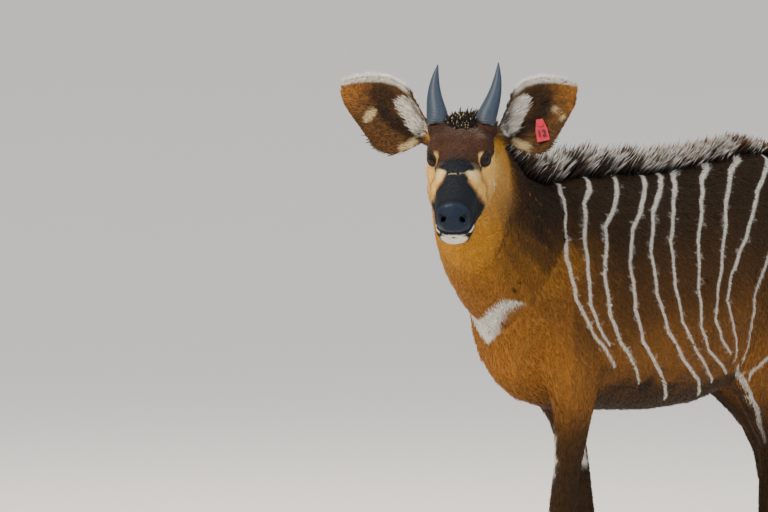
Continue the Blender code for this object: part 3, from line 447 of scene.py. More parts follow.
def split_long_edges(data):
    """Halves long edges, most of all along the stripes, so that marks painted on points are crisp."""
    mesh = bmesh.new()
    mesh.from_mesh(data)
    for _turn in range(HALVINGS):
        points = np.array([v.co for v in mesh.verts]) - SHIFT
        mesh.verts.index_update()
        ends = np.array([(edge.verts[0].index, edge.verts[1].index) for edge in mesh.edges])
        middle = points[ends].mean(axis=1)
        length = np.linalg.norm(points[ends[:, 0]] - points[ends[:, 1]], axis=1)
        limit = np.full(len(length), LONGEST_EDGE)
        flank = (length > EDGE_BY_STRIPE) & (middle[:, 0] > -0.07) & (middle[:, 2] > 0.40)
        limit[flank] = np.where(stripe_reach(middle[flank]) < STRIPE_ZONE, EDGE_BY_STRIPE, LONGEST_EDGE)
        long = [edge for edge, over in zip(mesh.edges, length > limit) if over]
        bmesh.ops.subdivide_edges(mesh, edges=long, cuts=1)
        bmesh.ops.triangulate(mesh, faces=mesh.faces)
    mesh.to_mesh(data)
    mesh.free()


flesh_tree, flesh_owners = owner_tree()
raw = skin.data
raw_points, raw_edges = vertex_array(raw), edge_array(raw)
in_head_raw = in_head(raw_points - SHIFT)
face_share = smoothstep(in_head_raw[:, 0], -0.03, 0.06)
on_ears = smoothstep(np.abs(in_head_raw[:, 1]), 0.075, 0.09) * (in_head_raw[:, 0] > -0.1)
face_share = np.maximum(face_share, on_ears)
face_share = face_share * (raw_points[:, 0] < SHIFT[0] - 0.2)
foot_share = fade(raw_points[:, 2], 0.050, 0.085)
face_share = np.maximum(face_share, foot_share)[:, None]
for _turn in range(14):
    relaxed = neighbours_mean(raw_points, raw_edges, len(raw_points))
    raw_points += (relaxed - raw_points) * (0.62 - 0.50 * face_share)
raw.vertices.foreach_set("co", raw_points.ravel())
keep_fine = skin.vertex_groups.new(name="thin here")
fineness = (1 - 0.93 * face_share[:, 0]).round(2)
for level in np.unique(fineness):
    keep_fine.add(np.flatnonzero(fineness == level).tolist(), float(level), "REPLACE")
thin = skin.modifiers.new("thin", "DECIMATE")
thin.vertex_group, thin.vertex_group_factor = "thin here", 6.0
thin.ratio = SKIN_TRIANGLES / (2 * len(raw.polygons))
modified(skin)
skin.vertex_groups.clear()
split_long_edges(skin.data)
skin_points, skin_edges = vertex_array(skin.data), edge_array(skin.data)
skin_parts = parts_of(skin_points, flesh_tree, flesh_owners)
print("skin:", triangle_count(skin.data), "triangles,", np.bincount(skin_parts), "points a part")

# %% [markdown]
# The ears have their own axes too: from root to tip, towards the upper edge, and out of the cup.
# Their marks, such as the white patch inside, are set out by the share of the ear's length and by
# the distance across it.

# %% The ears' axes
EAR_AT = (-0.022, 0.077, -0.021)
EAR_LENGTH = {LEFT: 0.180, RIGHT: 0.198}
EAR_RAISE = {LEFT: math.radians(32), RIGHT: math.radians(28)}
EAR_BACK, EAR_EDGE_LEAN, EAR_CUP = 0.12, 0.3, 0.036


def ear_axes(side):
    heading = Vector((-math.cos(HEAD_TURN), -math.sin(HEAD_TURN), 0))
    outward = Vector((math.sin(HEAD_TURN), -math.cos(HEAD_TURN), 0)) * -side
    raised = outward * math.cos(EAR_RAISE[side]) + Vector((0, 0, math.sin(EAR_RAISE[side])))
    tip = (raised - heading * EAR_BACK).normalized()
    edge = Vector((0, 0, 1)) - outward * EAR_EDGE_LEAN
    edge = (edge - tip * edge.dot(tip)).normalized()
    cup = edge.cross(tip)
    return np.array([tip, edge, cup if cup.dot(heading) > 0 else -cup])


EAR_AXES = {side: ear_axes(side) for _word, side in SIDES}


def in_ear(points, side):
    """Share of the ear's length, metres across it, and how far in front of its bowl."""
    along, left, up = EAR_AT
    root = POLL + np.array([along, -side * left, up]) @ HEAD_AXES
    local = (points - root) @ EAR_AXES[side].T
    share = local[:, 0] / EAR_LENGTH[side]
    reach = 0.066 - 0.030 * np.clip(share - 0.5, 0, 1)
    bowl = EAR_CUP * (1 - 0.75 * share) * ((np.clip(local[:, 1] / reach, -1, 1)) ** 2 - 0.75)
    return share, local[:, 1], local[:, 2] - bowl


# %% [markdown]
# Hair lies the way it was licked by growth: from the nose back over the head, down the neck, back
# and down along the body, down the legs. Each part of the skin gets one direction, and the
# directions are then averaged between neighbours again and again, which combs the borders smooth.

# %% How the hair lies
LIES = {
    "torso": (1.0, 0.0, -0.90),
    "neck": (0.50, 0.16, -0.85),
    "tail": (0.05, 0.0, -1.0),
    "leg": (0.10, 0.0, -1.0),
}
COMB_TURNS = 24


def lie_of(points, parts):
    """The raw direction of the hair at each point of the animal's frame."""
    lie = np.zeros_like(points)
    for name, way in LIES.items():
        lie[part_mask(parts, name)] = way
    torso = part_mask(parts, "torso")
    rump = smoothstep(points[:, 0], 0.56, 0.76) * torso
    shoulder = fade(points[:, 0], -0.02, 0.16) * torso
    lie[:, 2] -= 0.9 * rump + 0.7 * shoulder
    lie[:, 0] -= 0.5 * rump
    along, left, up = in_head(points).T
    head = part_mask(parts, "head")
    back = np.stack([-np.ones_like(along), 2.2 * left, -0.25 - 3.0 * (up < -0.03) * 0.1], axis=1)
    lie[head] = (back @ HEAD_AXES)[head]
    ear = part_mask(parts, "ear")
    for _word, side in SIDES:
        share, across, _front = in_ear(points, side)
        mine = ear & (left * -side > 0)
        fan = np.stack([np.ones_like(share), across * 16, np.zeros_like(share)], axis=1)
        lie[mine] = (fan @ EAR_AXES[side])[mine]
    return lie / np.linalg.norm(lie, axis=1)[:, None]


def flattened(vectors, normals):
    """Vectors turned to lie in the surface, at unit length."""
    flat = vectors - normals * np.sum(vectors * normals, axis=1)[:, None]
    return flat / np.maximum(np.linalg.norm(flat, axis=1), 1e-9)[:, None]


skin_normals = vertex_array(skin.data, "normals")
lie = flattened(lie_of(skin_points - SHIFT, skin_parts), skin_normals)
for _turn in range(COMB_TURNS):
    lie = flattened(lie + neighbours_mean(lie, skin_edges, len(lie)), skin_normals)
print("combed", len(lie), "points")

# %% [markdown]
# The markings are the hard part of any striped animal. Skin and coat must agree, so one function
# paints both: it takes places and surface directions and gives colours. The colours are mostly the
# flat ones of the hair, and the lamps give most of the light and shade; where shade, light or a
# reflection is painted into a colour, it is named as painted below. Soft steps mix one colour into
# the next, and slow waves keep the borders from looking ruled.

# %% The colours
PALETTE = {
    name: np.array(linear(value)[:3])
    for name, value in {
        "chestnut": "#533513",
        "deep": "#24190C",
        "orange": "#A0692A",
        "amber": "#C58A24",
        # Near black: the belly's own hair, and painted shade under the body and behind the elbow.
        "belly": "#241911",
        "white": "#E4E2DA",
        "cream": "#E9D6A4",
        "forehead": "#3D2519",
        "crown": "#17110E",
        # The blue in the muzzle's and the nose pad's dark colours is a painted reflection of the sky;
        # the black under it is their own.
        "muzzle": "#0A111A",
        "gold": "#E8B864",
        "lip": "#DEDACB",
        "rim": "#B8955E",
        "lid": "#120E0D",
        "shin": "#221810",
        "ginger": "#553A20",
        "shaded_fold": "#231811",
        "grey": "#47423C",
        "pad": "#172232",
    }.items()
}


def paint(colour, name, amount):
    """Mixes a colour of the palette in, by an amount from 0 to 1 at each point."""
    colour += (PALETTE[name] - colour) * np.clip(amount, 0, 1)[:, None]


# %% [markdown]
# The body's other colours: the back and shoulders darker on top, partly painted shade; an orange
# throat and chest with a white crescent across it, the orange partly painted light on the parts that
# face forward; a belly near black, partly painted shade beneath; a painted shadow behind the elbow;
# dark shins with pale patches, and a pale fringe behind the thigh.

# %% The body's colours
CRESCENT_AT, CRESCENT_REACH = 0.012, 0.092


def body_colours(points, normals, striped):
    x, y, z = points.T
    colour = np.tile(PALETTE["chestnut"], (len(points), 1))
    slow, quick = wave(points, 0.21), wave(points, 0.07, 1)
    # Painted shade: the back and shoulders grow darker towards the top, partly the coat's own deeper
    # tone.
    paint(colour, "deep", 0.9 * smoothstep(z + 0.03 * slow, 0.68, 0.96) * smoothstep(x, -0.33, -0.12))
    # Painted light: where the neck and chest face forward and down they turn orange and amber, partly
    # the
    # coat's own warmer colour there.
    forward = normals @ np.array([-0.80, -0.10, -0.58])
    front = smoothstep(forward + 0.1 * slow, -0.05, 0.60) * fade(x, -0.10, 0.10)
    paint(colour, "orange", 0.80 * front * smoothstep(z, 0.50, 0.62))
    paint(colour, "amber", 0.75 * front * smoothstep(z + 0.02 * slow, 0.74, 0.90))
    paint(colour, "orange", 0.50 * fade(z + 0.04 * slow, 0.58, 0.76) * smoothstep(z, 0.46, 0.56))
    # Painted shade: the parts that face down are near black, partly the belly's own dark hair.
    under = smoothstep(-normals[:, 2] + 0.1 * quick, 0.35, 0.75) * smoothstep(x, -0.06, 0.04)
    paint(colour, "belly", 0.85 * under * (z > 0.42) * fade(x, 0.68, 0.74))
    # A painted shadow: a small dark round spot in the hollow behind the elbow.
    elbow_shade = np.hypot(x - 0.195, z - 0.567)
    paint(colour, "belly", 0.8 * fade(elbow_shade + 0.003 * quick, 0.013, 0.020) * (z < 0.62))
    paint(colour, "white", striped * stripe_share(points, normals))
    rear = smoothstep(normals[:, 0], 0.15, 0.55) * smoothstep(x, 0.66, 0.72)
    beside_tail = np.abs(y) + 0.008 * quick
    fringe = rear * smoothstep(beside_tail, 0.024, 0.040) * fade(beside_tail, 0.050, 0.085)
    fringe *= smoothstep(z + 0.02 * quick, 0.54, 0.66) * fade(z + 0.02 * quick, 0.72, 0.86)
    paint(colour, "cream", 0.65 * fringe)
    off_centre = np.clip(np.abs(y - CRESCENT_AT) / CRESCENT_REACH, 0, 1)
    crescent_middle = 0.690 + 0.066 * off_centre**1.4
    crescent_half = 0.006 + 0.020 * (1 - off_centre) ** 1.5 + 0.002 * quick
    on_chest = (x < -0.06) * smoothstep(forward, -0.25, 0.0)
    inside = fade(np.abs(z - crescent_middle) - crescent_half + 0.003 * quick, -0.004, 0.003)
    paint(colour, "white", inside * on_chest * (off_centre < 1))
    return leg_colours(colour, points, normals)


def leg_colours(colour, points, normals):
    x, y, z = points.T
    quick = wave(points, 0.05, 1)
    inner = smoothstep(-normals[:, 1] * np.sign(y), 0.1, 0.5)
    paint(colour, "deep", 0.8 * fade(z + 0.02 * quick, 0.38, 0.54))
    rear = smoothstep(normals[:, 0], 0.0, 0.6)
    paint(colour, "shin", 0.85 * rear * fade(z + 0.02 * quick, 0.30, 0.46) * (x < 0.5))
    front = smoothstep(-normals[:, 0], 0.2, 0.7)
    paint(colour, "shin", 0.8 * front * fade(z + 0.02 * quick, 0.22, 0.34))
    patch = inner * smoothstep(z, 0.380, 0.400) * fade(z, 0.455, 0.485)
    paint(colour, "white", patch * smoothstep(-normals[:, 0] + 0.2 * quick, -0.55, 0.00) * (x < 0.5))
    low = smoothstep(z, 0.140, 0.150) * fade(z, 0.185, 0.205)
    paint(colour, "cream", 0.75 * inner * low)
    pastern = smoothstep(z, 0.052, 0.062) * fade(z + 0.004 * quick, 0.078, 0.094)
    paint(colour, "white", 0.9 * front * pastern)
    paint(colour, "crown", 0.8 * fade(z, 0.046, 0.056))
    return colour


# %% [markdown]
# The face is brown to below the eyes and black from there to the nose, with gold cheeks that reach
# in towards a broken pale line, two white spots on each cheek, and white lips and chin. Around the
# eye the distance is measured in the eye's own axes, where 1 is close to the lids' outer edge.

# %% The face's colours
LID_REACH = (0.0154, 0.0137)
# Inner edge of the gold cheeks, seen from above: along the head, and to the side.
GOLD_EDGE_ALONG = (0.120, 0.142, 0.178, 0.204, 0.212)
GOLD_EDGE_WIDE = (0.050, 0.041, 0.019, 0.024, 0.042)
# The mouth's line, with the white lip above it, and the comma of a nostril: along, wide, up.
MOUTH = np.array([
    (0.196, 0.0375, -0.0615), (0.222, 0.0375, -0.0660), (0.248, 0.0365, -0.0675),
    (0.266, 0.0320, -0.0678), (0.279, 0.0200, -0.0680), (0.285, 0.0000, -0.0680),
])
LIP_DROP = np.array([0.0, 0.0, 0.0020])
NOSTRIL_LINE = [(0.276, 0.020, -0.036), (0.283, 0.0185, -0.030), (0.284, 0.0235, -0.0225)]
CHEEK_SPOTS = (((0.074, -0.084), (0.008, 0.021)), ((0.104, -0.110), (0.017, 0.008)))
DASHES = ([(0.186, -0.014), (0.187, 0.001)], [(0.185, 0.007), (0.182, 0.016)])


def unit(vector):
    return np.array(vector) / np.linalg.norm(vector)


def eye_frame(side):
    """Where an eye looks, along its slit, and across the slit, in the head's axes."""
    way = unit((EYE_WAY[0], -side * EYE_WAY[1], EYE_WAY[2]))
    slit = np.array((1.0, 0.0, -0.16))
    slit = unit(slit - way * (slit @ way))
    return np.array([way, slit, np.cross(way, slit)])


def lid_place(head_points):
    """Places about the eye, as if both were the right one: out of the eye, and as an ellipse."""
    mirrored = head_points * [1, 0, 1] - np.abs(head_points) * [0, 1, 0]
    a, s, u = EYE_AT
    local = (mirrored - [a, -s, u]) @ eye_frame(RIGHT).T
    reach = np.hypot(local[:, 1] / LID_REACH[0], local[:, 2] / LID_REACH[1])
    near = (local[:, 0] > 0) & (np.linalg.norm(local, axis=1) < 0.045)
    return local, np.where(near, reach, 9.0)


def ellipse(first, second, centre, reach, turn=0.0):
    """Distance from an ellipse's middle, where 1 is its edge."""
    a, b = first - centre[0], second - centre[1]
    c, s = math.cos(turn), math.sin(turn)
    return np.hypot((a * c + b * s) / reach[0], (b * c - a * s) / reach[1])


def head_colours(points):
    place = in_head(points)
    along, left, up = place.T
    wide = np.abs(left)
    quick, fine = wave(points, 0.035), wave(points, 0.013, 2)
    wander = 0.0022 * quick + 0.0012 * fine
    colour = np.tile(PALETTE["forehead"], (len(points), 1))
    paint(colour, "chestnut", 0.30 * smoothstep(quick, -0.2, 0.8) * smoothstep(along, 0.02, 0.08))
    neckward = fade(along, -0.02, 0.05)
    throat = smoothstep(-up + 0.01 * quick, 0.085, 0.125) * fade(along, 0.12, 0.19)
    paint(colour, "amber", neckward * smoothstep(-up, 0.00, 0.05))
    paint(colour, "orange", 0.9 * throat)
    edge = np.interp(along, GOLD_EDGE_ALONG, GOLD_EDGE_WIDE)
    beside_nose = smoothstep(wide + wander - edge, -0.002, 0.004) * smoothstep(along, 0.128, 0.146)
    below_eye = smoothstep(-up + wander, 0.006, 0.016) * fade(along, 0.12, 0.15)
    behind = smoothstep(along, -0.02, 0.06) * smoothstep(wide, 0.02, 0.03)
    gold = np.maximum(beside_nose, below_eye) * behind
    paint(colour, "gold", gold)
    paint(colour, "orange", 0.7 * gold * smoothstep(-up, 0.05, 0.10))
    corner = ellipse(along, wide, (0.164, 0.031), (0.022, 0.011), -0.45)
    paint(colour, "cream", 0.75 * fade(corner, 0.3, 1.6) * (up > -0.022))
    border = 0.2065 - 0.75 * np.clip(-up - 0.012, 0, 0.06)
    bridge = smoothstep(along + 2 * wander, 0.128, 0.152)
    bridge = bridge * smoothstep(edge - wide + wander, -0.003, 0.003)
    past_border = along + wander - border
    snout = smoothstep(past_border, -0.007, 0.004)
    dusk = smoothstep(past_border, -0.022, -0.004) * smoothstep(wide, 0.0, 0.01)
    paint(colour, "forehead", 0.8 * dusk)
    paint(colour, "muzzle", np.maximum(bridge * smoothstep(up, -0.04, -0.02), snout))
    for spot, reach in CHEEK_SPOTS:
        inside = fade(ellipse(along, up, spot, reach) + 0.12 * quick, 0.85, 1.1)
        paint(colour, "white", inside * (wide > 0.02))
    for dash in DASHES:
        off = polyline(place[:, :2], dash)[0] + 0.0005 * fine
        paint(colour, "cream", 0.45 * fade(off, 0.0005, 0.0015) * (up > 0))
    under = smoothstep(-up, 0.088, 0.098) * smoothstep(along, 0.19, 0.22)
    paint(colour, "crown", 0.75 * under)
    # The nose pad's navy is its own black with a painted reflection of the sky on it.
    pad = smoothstep(along, 0.266, 0.275) * fade(wide, 0.031, 0.036) * (up > -0.0600)
    paint(colour, "pad", pad)
    solid = np.stack([along, wide, up], axis=1)
    # Painted shade: a dark comma in and around each nostril's opening, in the lids' dark colour.
    nostril = polyline(solid, NOSTRIL_LINE)[0]
    paint(colour, "lid", fade(nostril, 0.0030, 0.0058))
    chin = ellipse(wide, up, (0.0, -0.081), (0.0265, 0.0150)) + 0.05 * fine
    paint(colour, "lip", smoothstep(-chin, -1.10, -0.95) * smoothstep(along, 0.252, 0.260))
    upper_lip = polyline(solid, MOUTH - LIP_DROP / 2)[0]
    lip_half = 0.0021 + 0.0012 * fade(along, 0.262, 0.276)
    lip = fade(upper_lip, lip_half - 0.0006, lip_half + 0.0006)
    paint(colour, "lip", smoothstep(along, 0.240, 0.250) * lip)
    # Painted shade: a dark line in the slit of the mouth, under the white upper lip.
    gape = polyline(solid, MOUTH - LIP_DROP * 2)[0]
    paint(colour, "lid", 0.95 * fade(gape, 0.0012, 0.0024))
    tuft = ellipse(along, left, (0.014, 0.0), (0.040, 0.030)) + 0.15 * fine
    paint(colour, "crown", 0.85 * fade(tuft, 0.55, 1.15) * (up > 0.0))
    local, reach = lid_place(place)
    rim = smoothstep(reach, 1.06, 1.16) * fade(reach + 0.05 * fine, 1.30, 1.46)
    paint(colour, "rim", 0.8 * rim * smoothstep(local[:, 1] - 0.4 * local[:, 2], -0.016, -0.004))
    tear = polyline(local[:, 1:], [(0.016, -0.001), (0.026, -0.003)])[0] + 9 * (reach > 8)
    paint(colour, "lid", 0.9 * fade(tear, 0.0015, 0.0032))
    paint(colour, "lid", fade(reach, 1.02, 1.14))
    return colour


# %% [markdown]
# Each ear is chestnut outside. Inside it is ginger, with painted shade along a dark fold and in the
# hollow of the cup, and it turns orange towards the tip. A white patch of long hair lies near the
# root, and a white fringe runs along the upper edge.

# %% The ears' colours
def ear_colours(points, normals, side):
    share, across, _front = in_ear(points, side)
    inside = smoothstep(normals @ EAR_AXES[side][2], -0.15, 0.15)
    quick, fine = wave(points, 0.03), wave(points, 0.011, 2)
    colour = np.tile(PALETTE["chestnut"], (len(points), 1))
    paint(colour, "orange", 0.55 * smoothstep(share + 0.05 * quick, 0.55, 1.0))
    back = 0.7 * smoothstep(share, 0.25, 0.6) * smoothstep(across, 0.0, 0.05)
    paint(colour, "crown", back * (1 - inside))
    paint(colour, "ginger", inside)
    place = np.stack([share * EAR_LENGTH[side], across + 0.002 * quick], axis=1)
    # Painted shade: a dark band along the fold inside the cup.
    shaded_fold = polyline(place, [(0.02, -0.012), (0.058, -0.013), (0.105, 0.0)])[0]
    paint(colour, "shaded_fold", 0.9 * inside * fade(shaded_fold + 0.003 * fine, 0.006, 0.024))
    # Painted shade: a dark hollow in the middle of the cup.
    dusk = ellipse(share, across, (0.58, 0.026), (0.19, 0.022)) + 0.15 * fine
    paint(colour, "shaded_fold", 0.75 * inside * fade(dusk, 0.5, 1.3))
    pale = polyline(place, WHITE_PATCH)[0]
    paint(colour, "white", 0.9 * inside * fade(pale + 0.003 * fine, 0.011, 0.020))
    lower = polyline(place, [(0.117, -0.012), (0.122, -0.030)])[0]
    lower = np.minimum(lower, polyline(place, [(0.016, -0.028), (0.030, -0.046)])[0])
    paint(colour, "cream", 0.5 * inside * fade(lower + 0.003 * fine, 0.003, 0.012))
    paint(colour, "orange", 0.6 * inside * smoothstep(share + 0.06 * quick, 0.66, 0.96))
    edge = np.interp(share, EDGE_SHARES, EDGE_REACHES)
    brim = smoothstep(across - edge, -0.014, -0.006) * smoothstep(share, 0.30, 0.42)
    paint(colour, "white", 0.95 * brim)
    return colour


# The white patch's middle line: metres from the ear's root, and across it.
WHITE_PATCH = [(0.020, 0.004), (0.040, 0.018), (0.060, 0.030)]
EDGE_SHARES = (0.00, 0.10, 0.22, 0.36, 0.50, 0.64, 0.78, 0.90, 0.97)
EDGE_REACHES = (0.021, 0.032, 0.050, 0.063, 0.067, 0.060, 0.046, 0.030, 0.017)
HEAD_SHARE_FROM, HEAD_SHARE_TO, HEAD_SHARE_LOW = -0.060, -0.015, (0.08, 0.20)


def coat_colours(points, normals, parts, striped=1.0):
    """The colour of hair and skin at any place of the animal's frame."""
    colour = body_colours(points, normals, striped)
    along, left, up = in_head(points).T
    near_head = (np.abs(left) < 0.12) & (np.abs(up) < 0.2) & (along > -0.1) & (points[:, 0] < -0.2)
    share = smoothstep(along + 0.25 * up, HEAD_SHARE_FROM, HEAD_SHARE_TO) * near_head
    share *= fade(-up, *HEAD_SHARE_LOW)
    least = 0.5 * fade(-up, 0.03, 0.10) * part_mask(parts, "head")
    share = np.maximum(share, least)
    near = share > 0
    colour[near] += (head_colours(points[near]) - colour[near]) * share[near, None]
    for _word, side in SIDES:
        mine = part_mask(parts, "ear") & (left * -side > 0)
        if mine.any():
            colour[mine] = ear_colours(points[mine], normals[mine], side)
    return colour


# The skin's faces are coarser than the hair, so its stripes are faint and the hair has the edge.
SKIN_STRIPES = 0.45
skin_colours = coat_colours(skin_points - SHIFT, skin_normals, skin_parts, SKIN_STRIPES)
print("skin's mean colour:", skin_colours.mean(axis=0).round(3))

# %% [markdown]
# The skin now sinks by the depth of the coat, so that the tips of the hair end at the solids'
# outline. The nose pad is bare and stays where it is. The skin round the eyes is pushed clear of
# the eyeballs, so that none shows through an eye.

# %% The skin takes its depth and its colours
COAT_DEPTH, LEG_DEPTH, FACE_DEPTH, FOOT_DEPTH = 0.0040, 0.0022, 0.0010, 0.0002
FOOT_TOP, EYE_CLEARANCE = 0.060, 0.0006


def bare_skin(points):
    """Where no hair grows: the nose pad, the eyeballs' sockets and the lids' edges."""
    place = in_head(points)
    along, left, up = place.T
    wide = np.abs(left)
    pad = smoothstep(along, 0.266, 0.275) * fade(wide, 0.030, 0.036) * (up > -0.0575)
    _local, reach = lid_place(place)
    return np.maximum(pad, fade(reach, 0.96, 1.06))


local = skin_points - SHIFT
depth = np.full(len(local), COAT_DEPTH)
on_leg = part_mask(skin_parts, "leg")
depth[on_leg] = (LEG_DEPTH + (COAT_DEPTH - LEG_DEPTH) * smoothstep(local[:, 2], 0.35, 0.65))[on_leg]
depth[on_leg & (local[:, 2] < FOOT_TOP)] = FOOT_DEPTH
for name in ("head", "ear", "tail"):
    depth[part_mask(skin_parts, name)] = FACE_DEPTH
depth = depth[:, None]
for _turn in range(COMB_TURNS):
    depth = (depth + neighbours_mean(depth, skin_edges, len(depth))) / 2
bare = bare_skin(local)
skin_points -= skin_normals * depth * (1 - bare[:, None])
for _word, side in SIDES:
    along, left, up = EYE_AT
    centre = np.array(from_head(along, -side * left, up))
    away = skin_points - centre
    distance = np.linalg.norm(away, axis=1)
    inside = distance < EYE_RADIUS + EYE_CLEARANCE
    outward = away[inside] / distance[inside, None]
    skin_points[inside] = centre + outward * (EYE_RADIUS + EYE_CLEARANCE)
skin.data.vertices.foreach_set("co", skin_points.ravel())
skin.data.update()
shade_smooth(skin.data)
skin_points, skin_normals = vertex_array(skin.data), vertex_array(skin.data, "normals")


def store(mesh, name, values, kind="FLOAT"):
    """Keeps one value for each point of the mesh under a name that materials can read."""
    slot = {"FLOAT": "value", "FLOAT_VECTOR": "vector", "FLOAT_COLOR": "color"}[kind]
    old = mesh.attributes.get(name)
    if old:
        mesh.attributes.remove(old)
    made = mesh.attributes.new(name, kind, "POINT")
    made.data.foreach_set(slot, np.ascontiguousarray(values, dtype=np.float32).ravel())


def with_alpha(colours):
    return np.concatenate([colours, np.ones((len(colours), 1))], axis=1)


# Places for the hair pattern, squeezed along the lie of each part, so that noise becomes streaks.
STREAK_SQUEEZE = 0.11
flow = np.zeros_like(skin_points)
for name, way in {**LIES, "head": tuple(-HEAD_AXES[0]), "ear": tuple(EAR_AXES[LEFT][0])}.items():
    mine = part_mask(skin_parts, name)
    way = np.array(way) / np.linalg.norm(way)
    lengthwise = (skin_points @ way)[:, None]
    flow[mine] = (skin_points - way * lengthwise * (1 - STREAK_SQUEEZE))[mine]
store(skin.data, "flow", flow, "FLOAT_VECTOR")
store(skin.data, "coat_colour", with_alpha(skin_colours), "FLOAT_COLOR")
store(skin.data, "bare", bare)

# %% [markdown]
# Hair is keratin over dark or pale pigment: no metal, a fairly rough gloss along each strand, and
# a faint glow at grazing angles from the fuzz, which is what sheen is for. Under the tufts the same
# short hair is a bump pattern on the skin, drawn in streaks 1.2 mm wide along the lie, wider than
# real hair, or it wouldn't show from here. Where the skin is bare it is wet, pebbled and glossier.

# %% Coat and skin materials
HAIR_IOR, HAIR_ROUGHNESS, HAIR_GLOSS, HAIR_SHEEN = 1.55, 0.60, 0.14, 0.015
STREAK, STREAK_DEPTH, STREAK_DARK, STREAK_PALE = 0.0012, 0.0006, 0.66, 1.10
PEBBLE = 0.0024
DRY_ROUGHNESS, WET_ROUGHNESS = 0.72, 0.42


def new_material(name):
    material = bpy.data.materials.new(name)
    material.use_nodes = True
    return material, material.node_tree, material.node_tree.nodes["Principled BSDF"]


def hair_material(name, dark_root, pale_tip):
    """Coloured by the tuft's own colour, darker down at the root and paler at the tip."""
    material, tree, shader = new_material(name)
    colour = add(tree, "ShaderNodeAttribute", attribute_name="coat_colour")
    tip = add(tree, "ShaderNodeAttribute", attribute_name="tip").outputs["Fac"]
    ramp = add(tree, "ShaderNodeMapRange", {"Value": tip, "To Min": dark_root, "To Max": pale_tip})
    shaded = add(tree, "ShaderNodeVectorMath", {0: colour, "Scale": ramp}, operation="SCALE")
    plug(tree, shader, {"Base Color": shaded, "Roughness": HAIR_ROUGHNESS, "IOR": HAIR_IOR})
    plug(tree, shader, {"Specular IOR Level": HAIR_GLOSS, "Sheen Weight": HAIR_SHEEN})
    return material


def skin_material():
    material, tree, shader = new_material("short hair over skin")
    colour = add(tree, "ShaderNodeAttribute", attribute_name="coat_colour")
    flow_at = add(tree, "ShaderNodeAttribute", attribute_name="flow").outputs["Vector"]
    bare_at = add(tree, "ShaderNodeAttribute", attribute_name="bare").outputs["Fac"]
    streaks = add(tree, "ShaderNodeTexNoise", {"Vector": flow_at, "Scale": 1 / STREAK, "Detail": 2.0})
    to = {"To Min": STREAK_DARK, "To Max": STREAK_PALE}
    tone = add(tree, "ShaderNodeMapRange", {"Value": streaks, "From Min": 0.3, "From Max": 0.7, **to})
    shaded = add(tree, "ShaderNodeVectorMath", {0: colour, "Scale": tone}, operation="SCALE")
    place = add(tree, "ShaderNodeTexCoord").outputs["Object"]
    pebbled = {"Vector": place, "Scale": 1 / PEBBLE}
    pebbles = add(tree, "ShaderNodeTexVoronoi", pebbled, feature="SMOOTH_F1")
    height = add(tree, "ShaderNodeMix", {"Factor": bare_at, "A": streaks, "B": pebbles})
    bump = add(tree, "ShaderNodeBump", {"Strength": 0.8, "Distance": STREAK_DEPTH, "Height": height})
    to = {"To Min": DRY_ROUGHNESS, "To Max": WET_ROUGHNESS}
    wet = add(tree, "ShaderNodeMapRange", {"Value": bare_at, **to})
    plug(tree, shader, {"Base Color": shaded, "Normal": bump, "Roughness": wet})
    plug(tree, shader, {"Specular IOR Level": HAIR_GLOSS})
    return material


COAT_HAIR = hair_material("short guard hair", 0.72, 1.10)
LONG_HAIR = hair_material("long mane hair", 0.55, 1.15)
skin.data.materials.append(skin_material())
print("materials:", [m.name for m in bpy.data.materials][-3:])

# %% [markdown]
# A tuft stands for some dozens of hairs that cling together. It could be a flat card with a
# picture of hair, but this animal must hold without pictures, so it is a real, closed, tapering
# cone of three sides, bent along its length. It is one unit long, wide and high, and a wide copy
# and a fine copy are only scaled apart.

# %% The tuft's form
TUFT_SIDES, TUFT_FLATNESS, TUFT_SUNK = 3, 0.45, 0.40
# The tuft is widest near its middle, and arches up and over towards its tip.
TUFT_BELLY, TUFT_ARCH, TUFT_BOW = 2.4, 2.2, 1.25


def tuft_form(rings):
    points = []
    for k in range(rings):
        t = k / rings
        half = 0.5 * (1 - t) * (1 + TUFT_BELLY * t)
        high = t * (TUFT_ARCH - TUFT_BOW * t) - TUFT_SUNK
        for corner in range(TUFT_SIDES):
            turn = 2 * math.pi * corner / TUFT_SIDES
            points.append((t, half * math.cos(turn), high + half * TUFT_FLATNESS * math.sin(turn)))
    points.append((1.0, 0.0, TUFT_ARCH - TUFT_BOW - TUFT_SUNK))
    faces = [tuple(reversed(range(TUFT_SIDES)))]
    for k in range(rings):
        for corner in range(TUFT_SIDES):
            here, beside = k * TUFT_SIDES + corner, k * TUFT_SIDES + (corner + 1) % TUFT_SIDES
            above = [beside + TUFT_SIDES, here + TUFT_SIDES] if k < rings - 1 else [len(points) - 1]
            faces.append((here, beside, *above))
    return new_object(f"tuft of {rings} rings", from_arrays("tuft", points, faces))


SHORT_TUFT, LONG_TUFT = tuft_form(2), tuft_form(3)
print("tufts have", triangle_count(SHORT_TUFT.data), "and", triangle_count(LONG_TUFT.data), "triangles")

# %% [markdown]
# The coat is one Geometry Nodes tree used many times. Points are strewn over the skin, a tuft is
# set on each with its length along the lie and its back to the sky, and Realize Instances makes
# the whole a real mesh. Sizes come from attributes of the skin: `grow` is the way the hair points,
# `size` holds its length, width and rise, `root_normal` is the way out of the skin, and `cover`
# says how densely it grows. The tree also stores where each tuft is rooted, to colour it later.

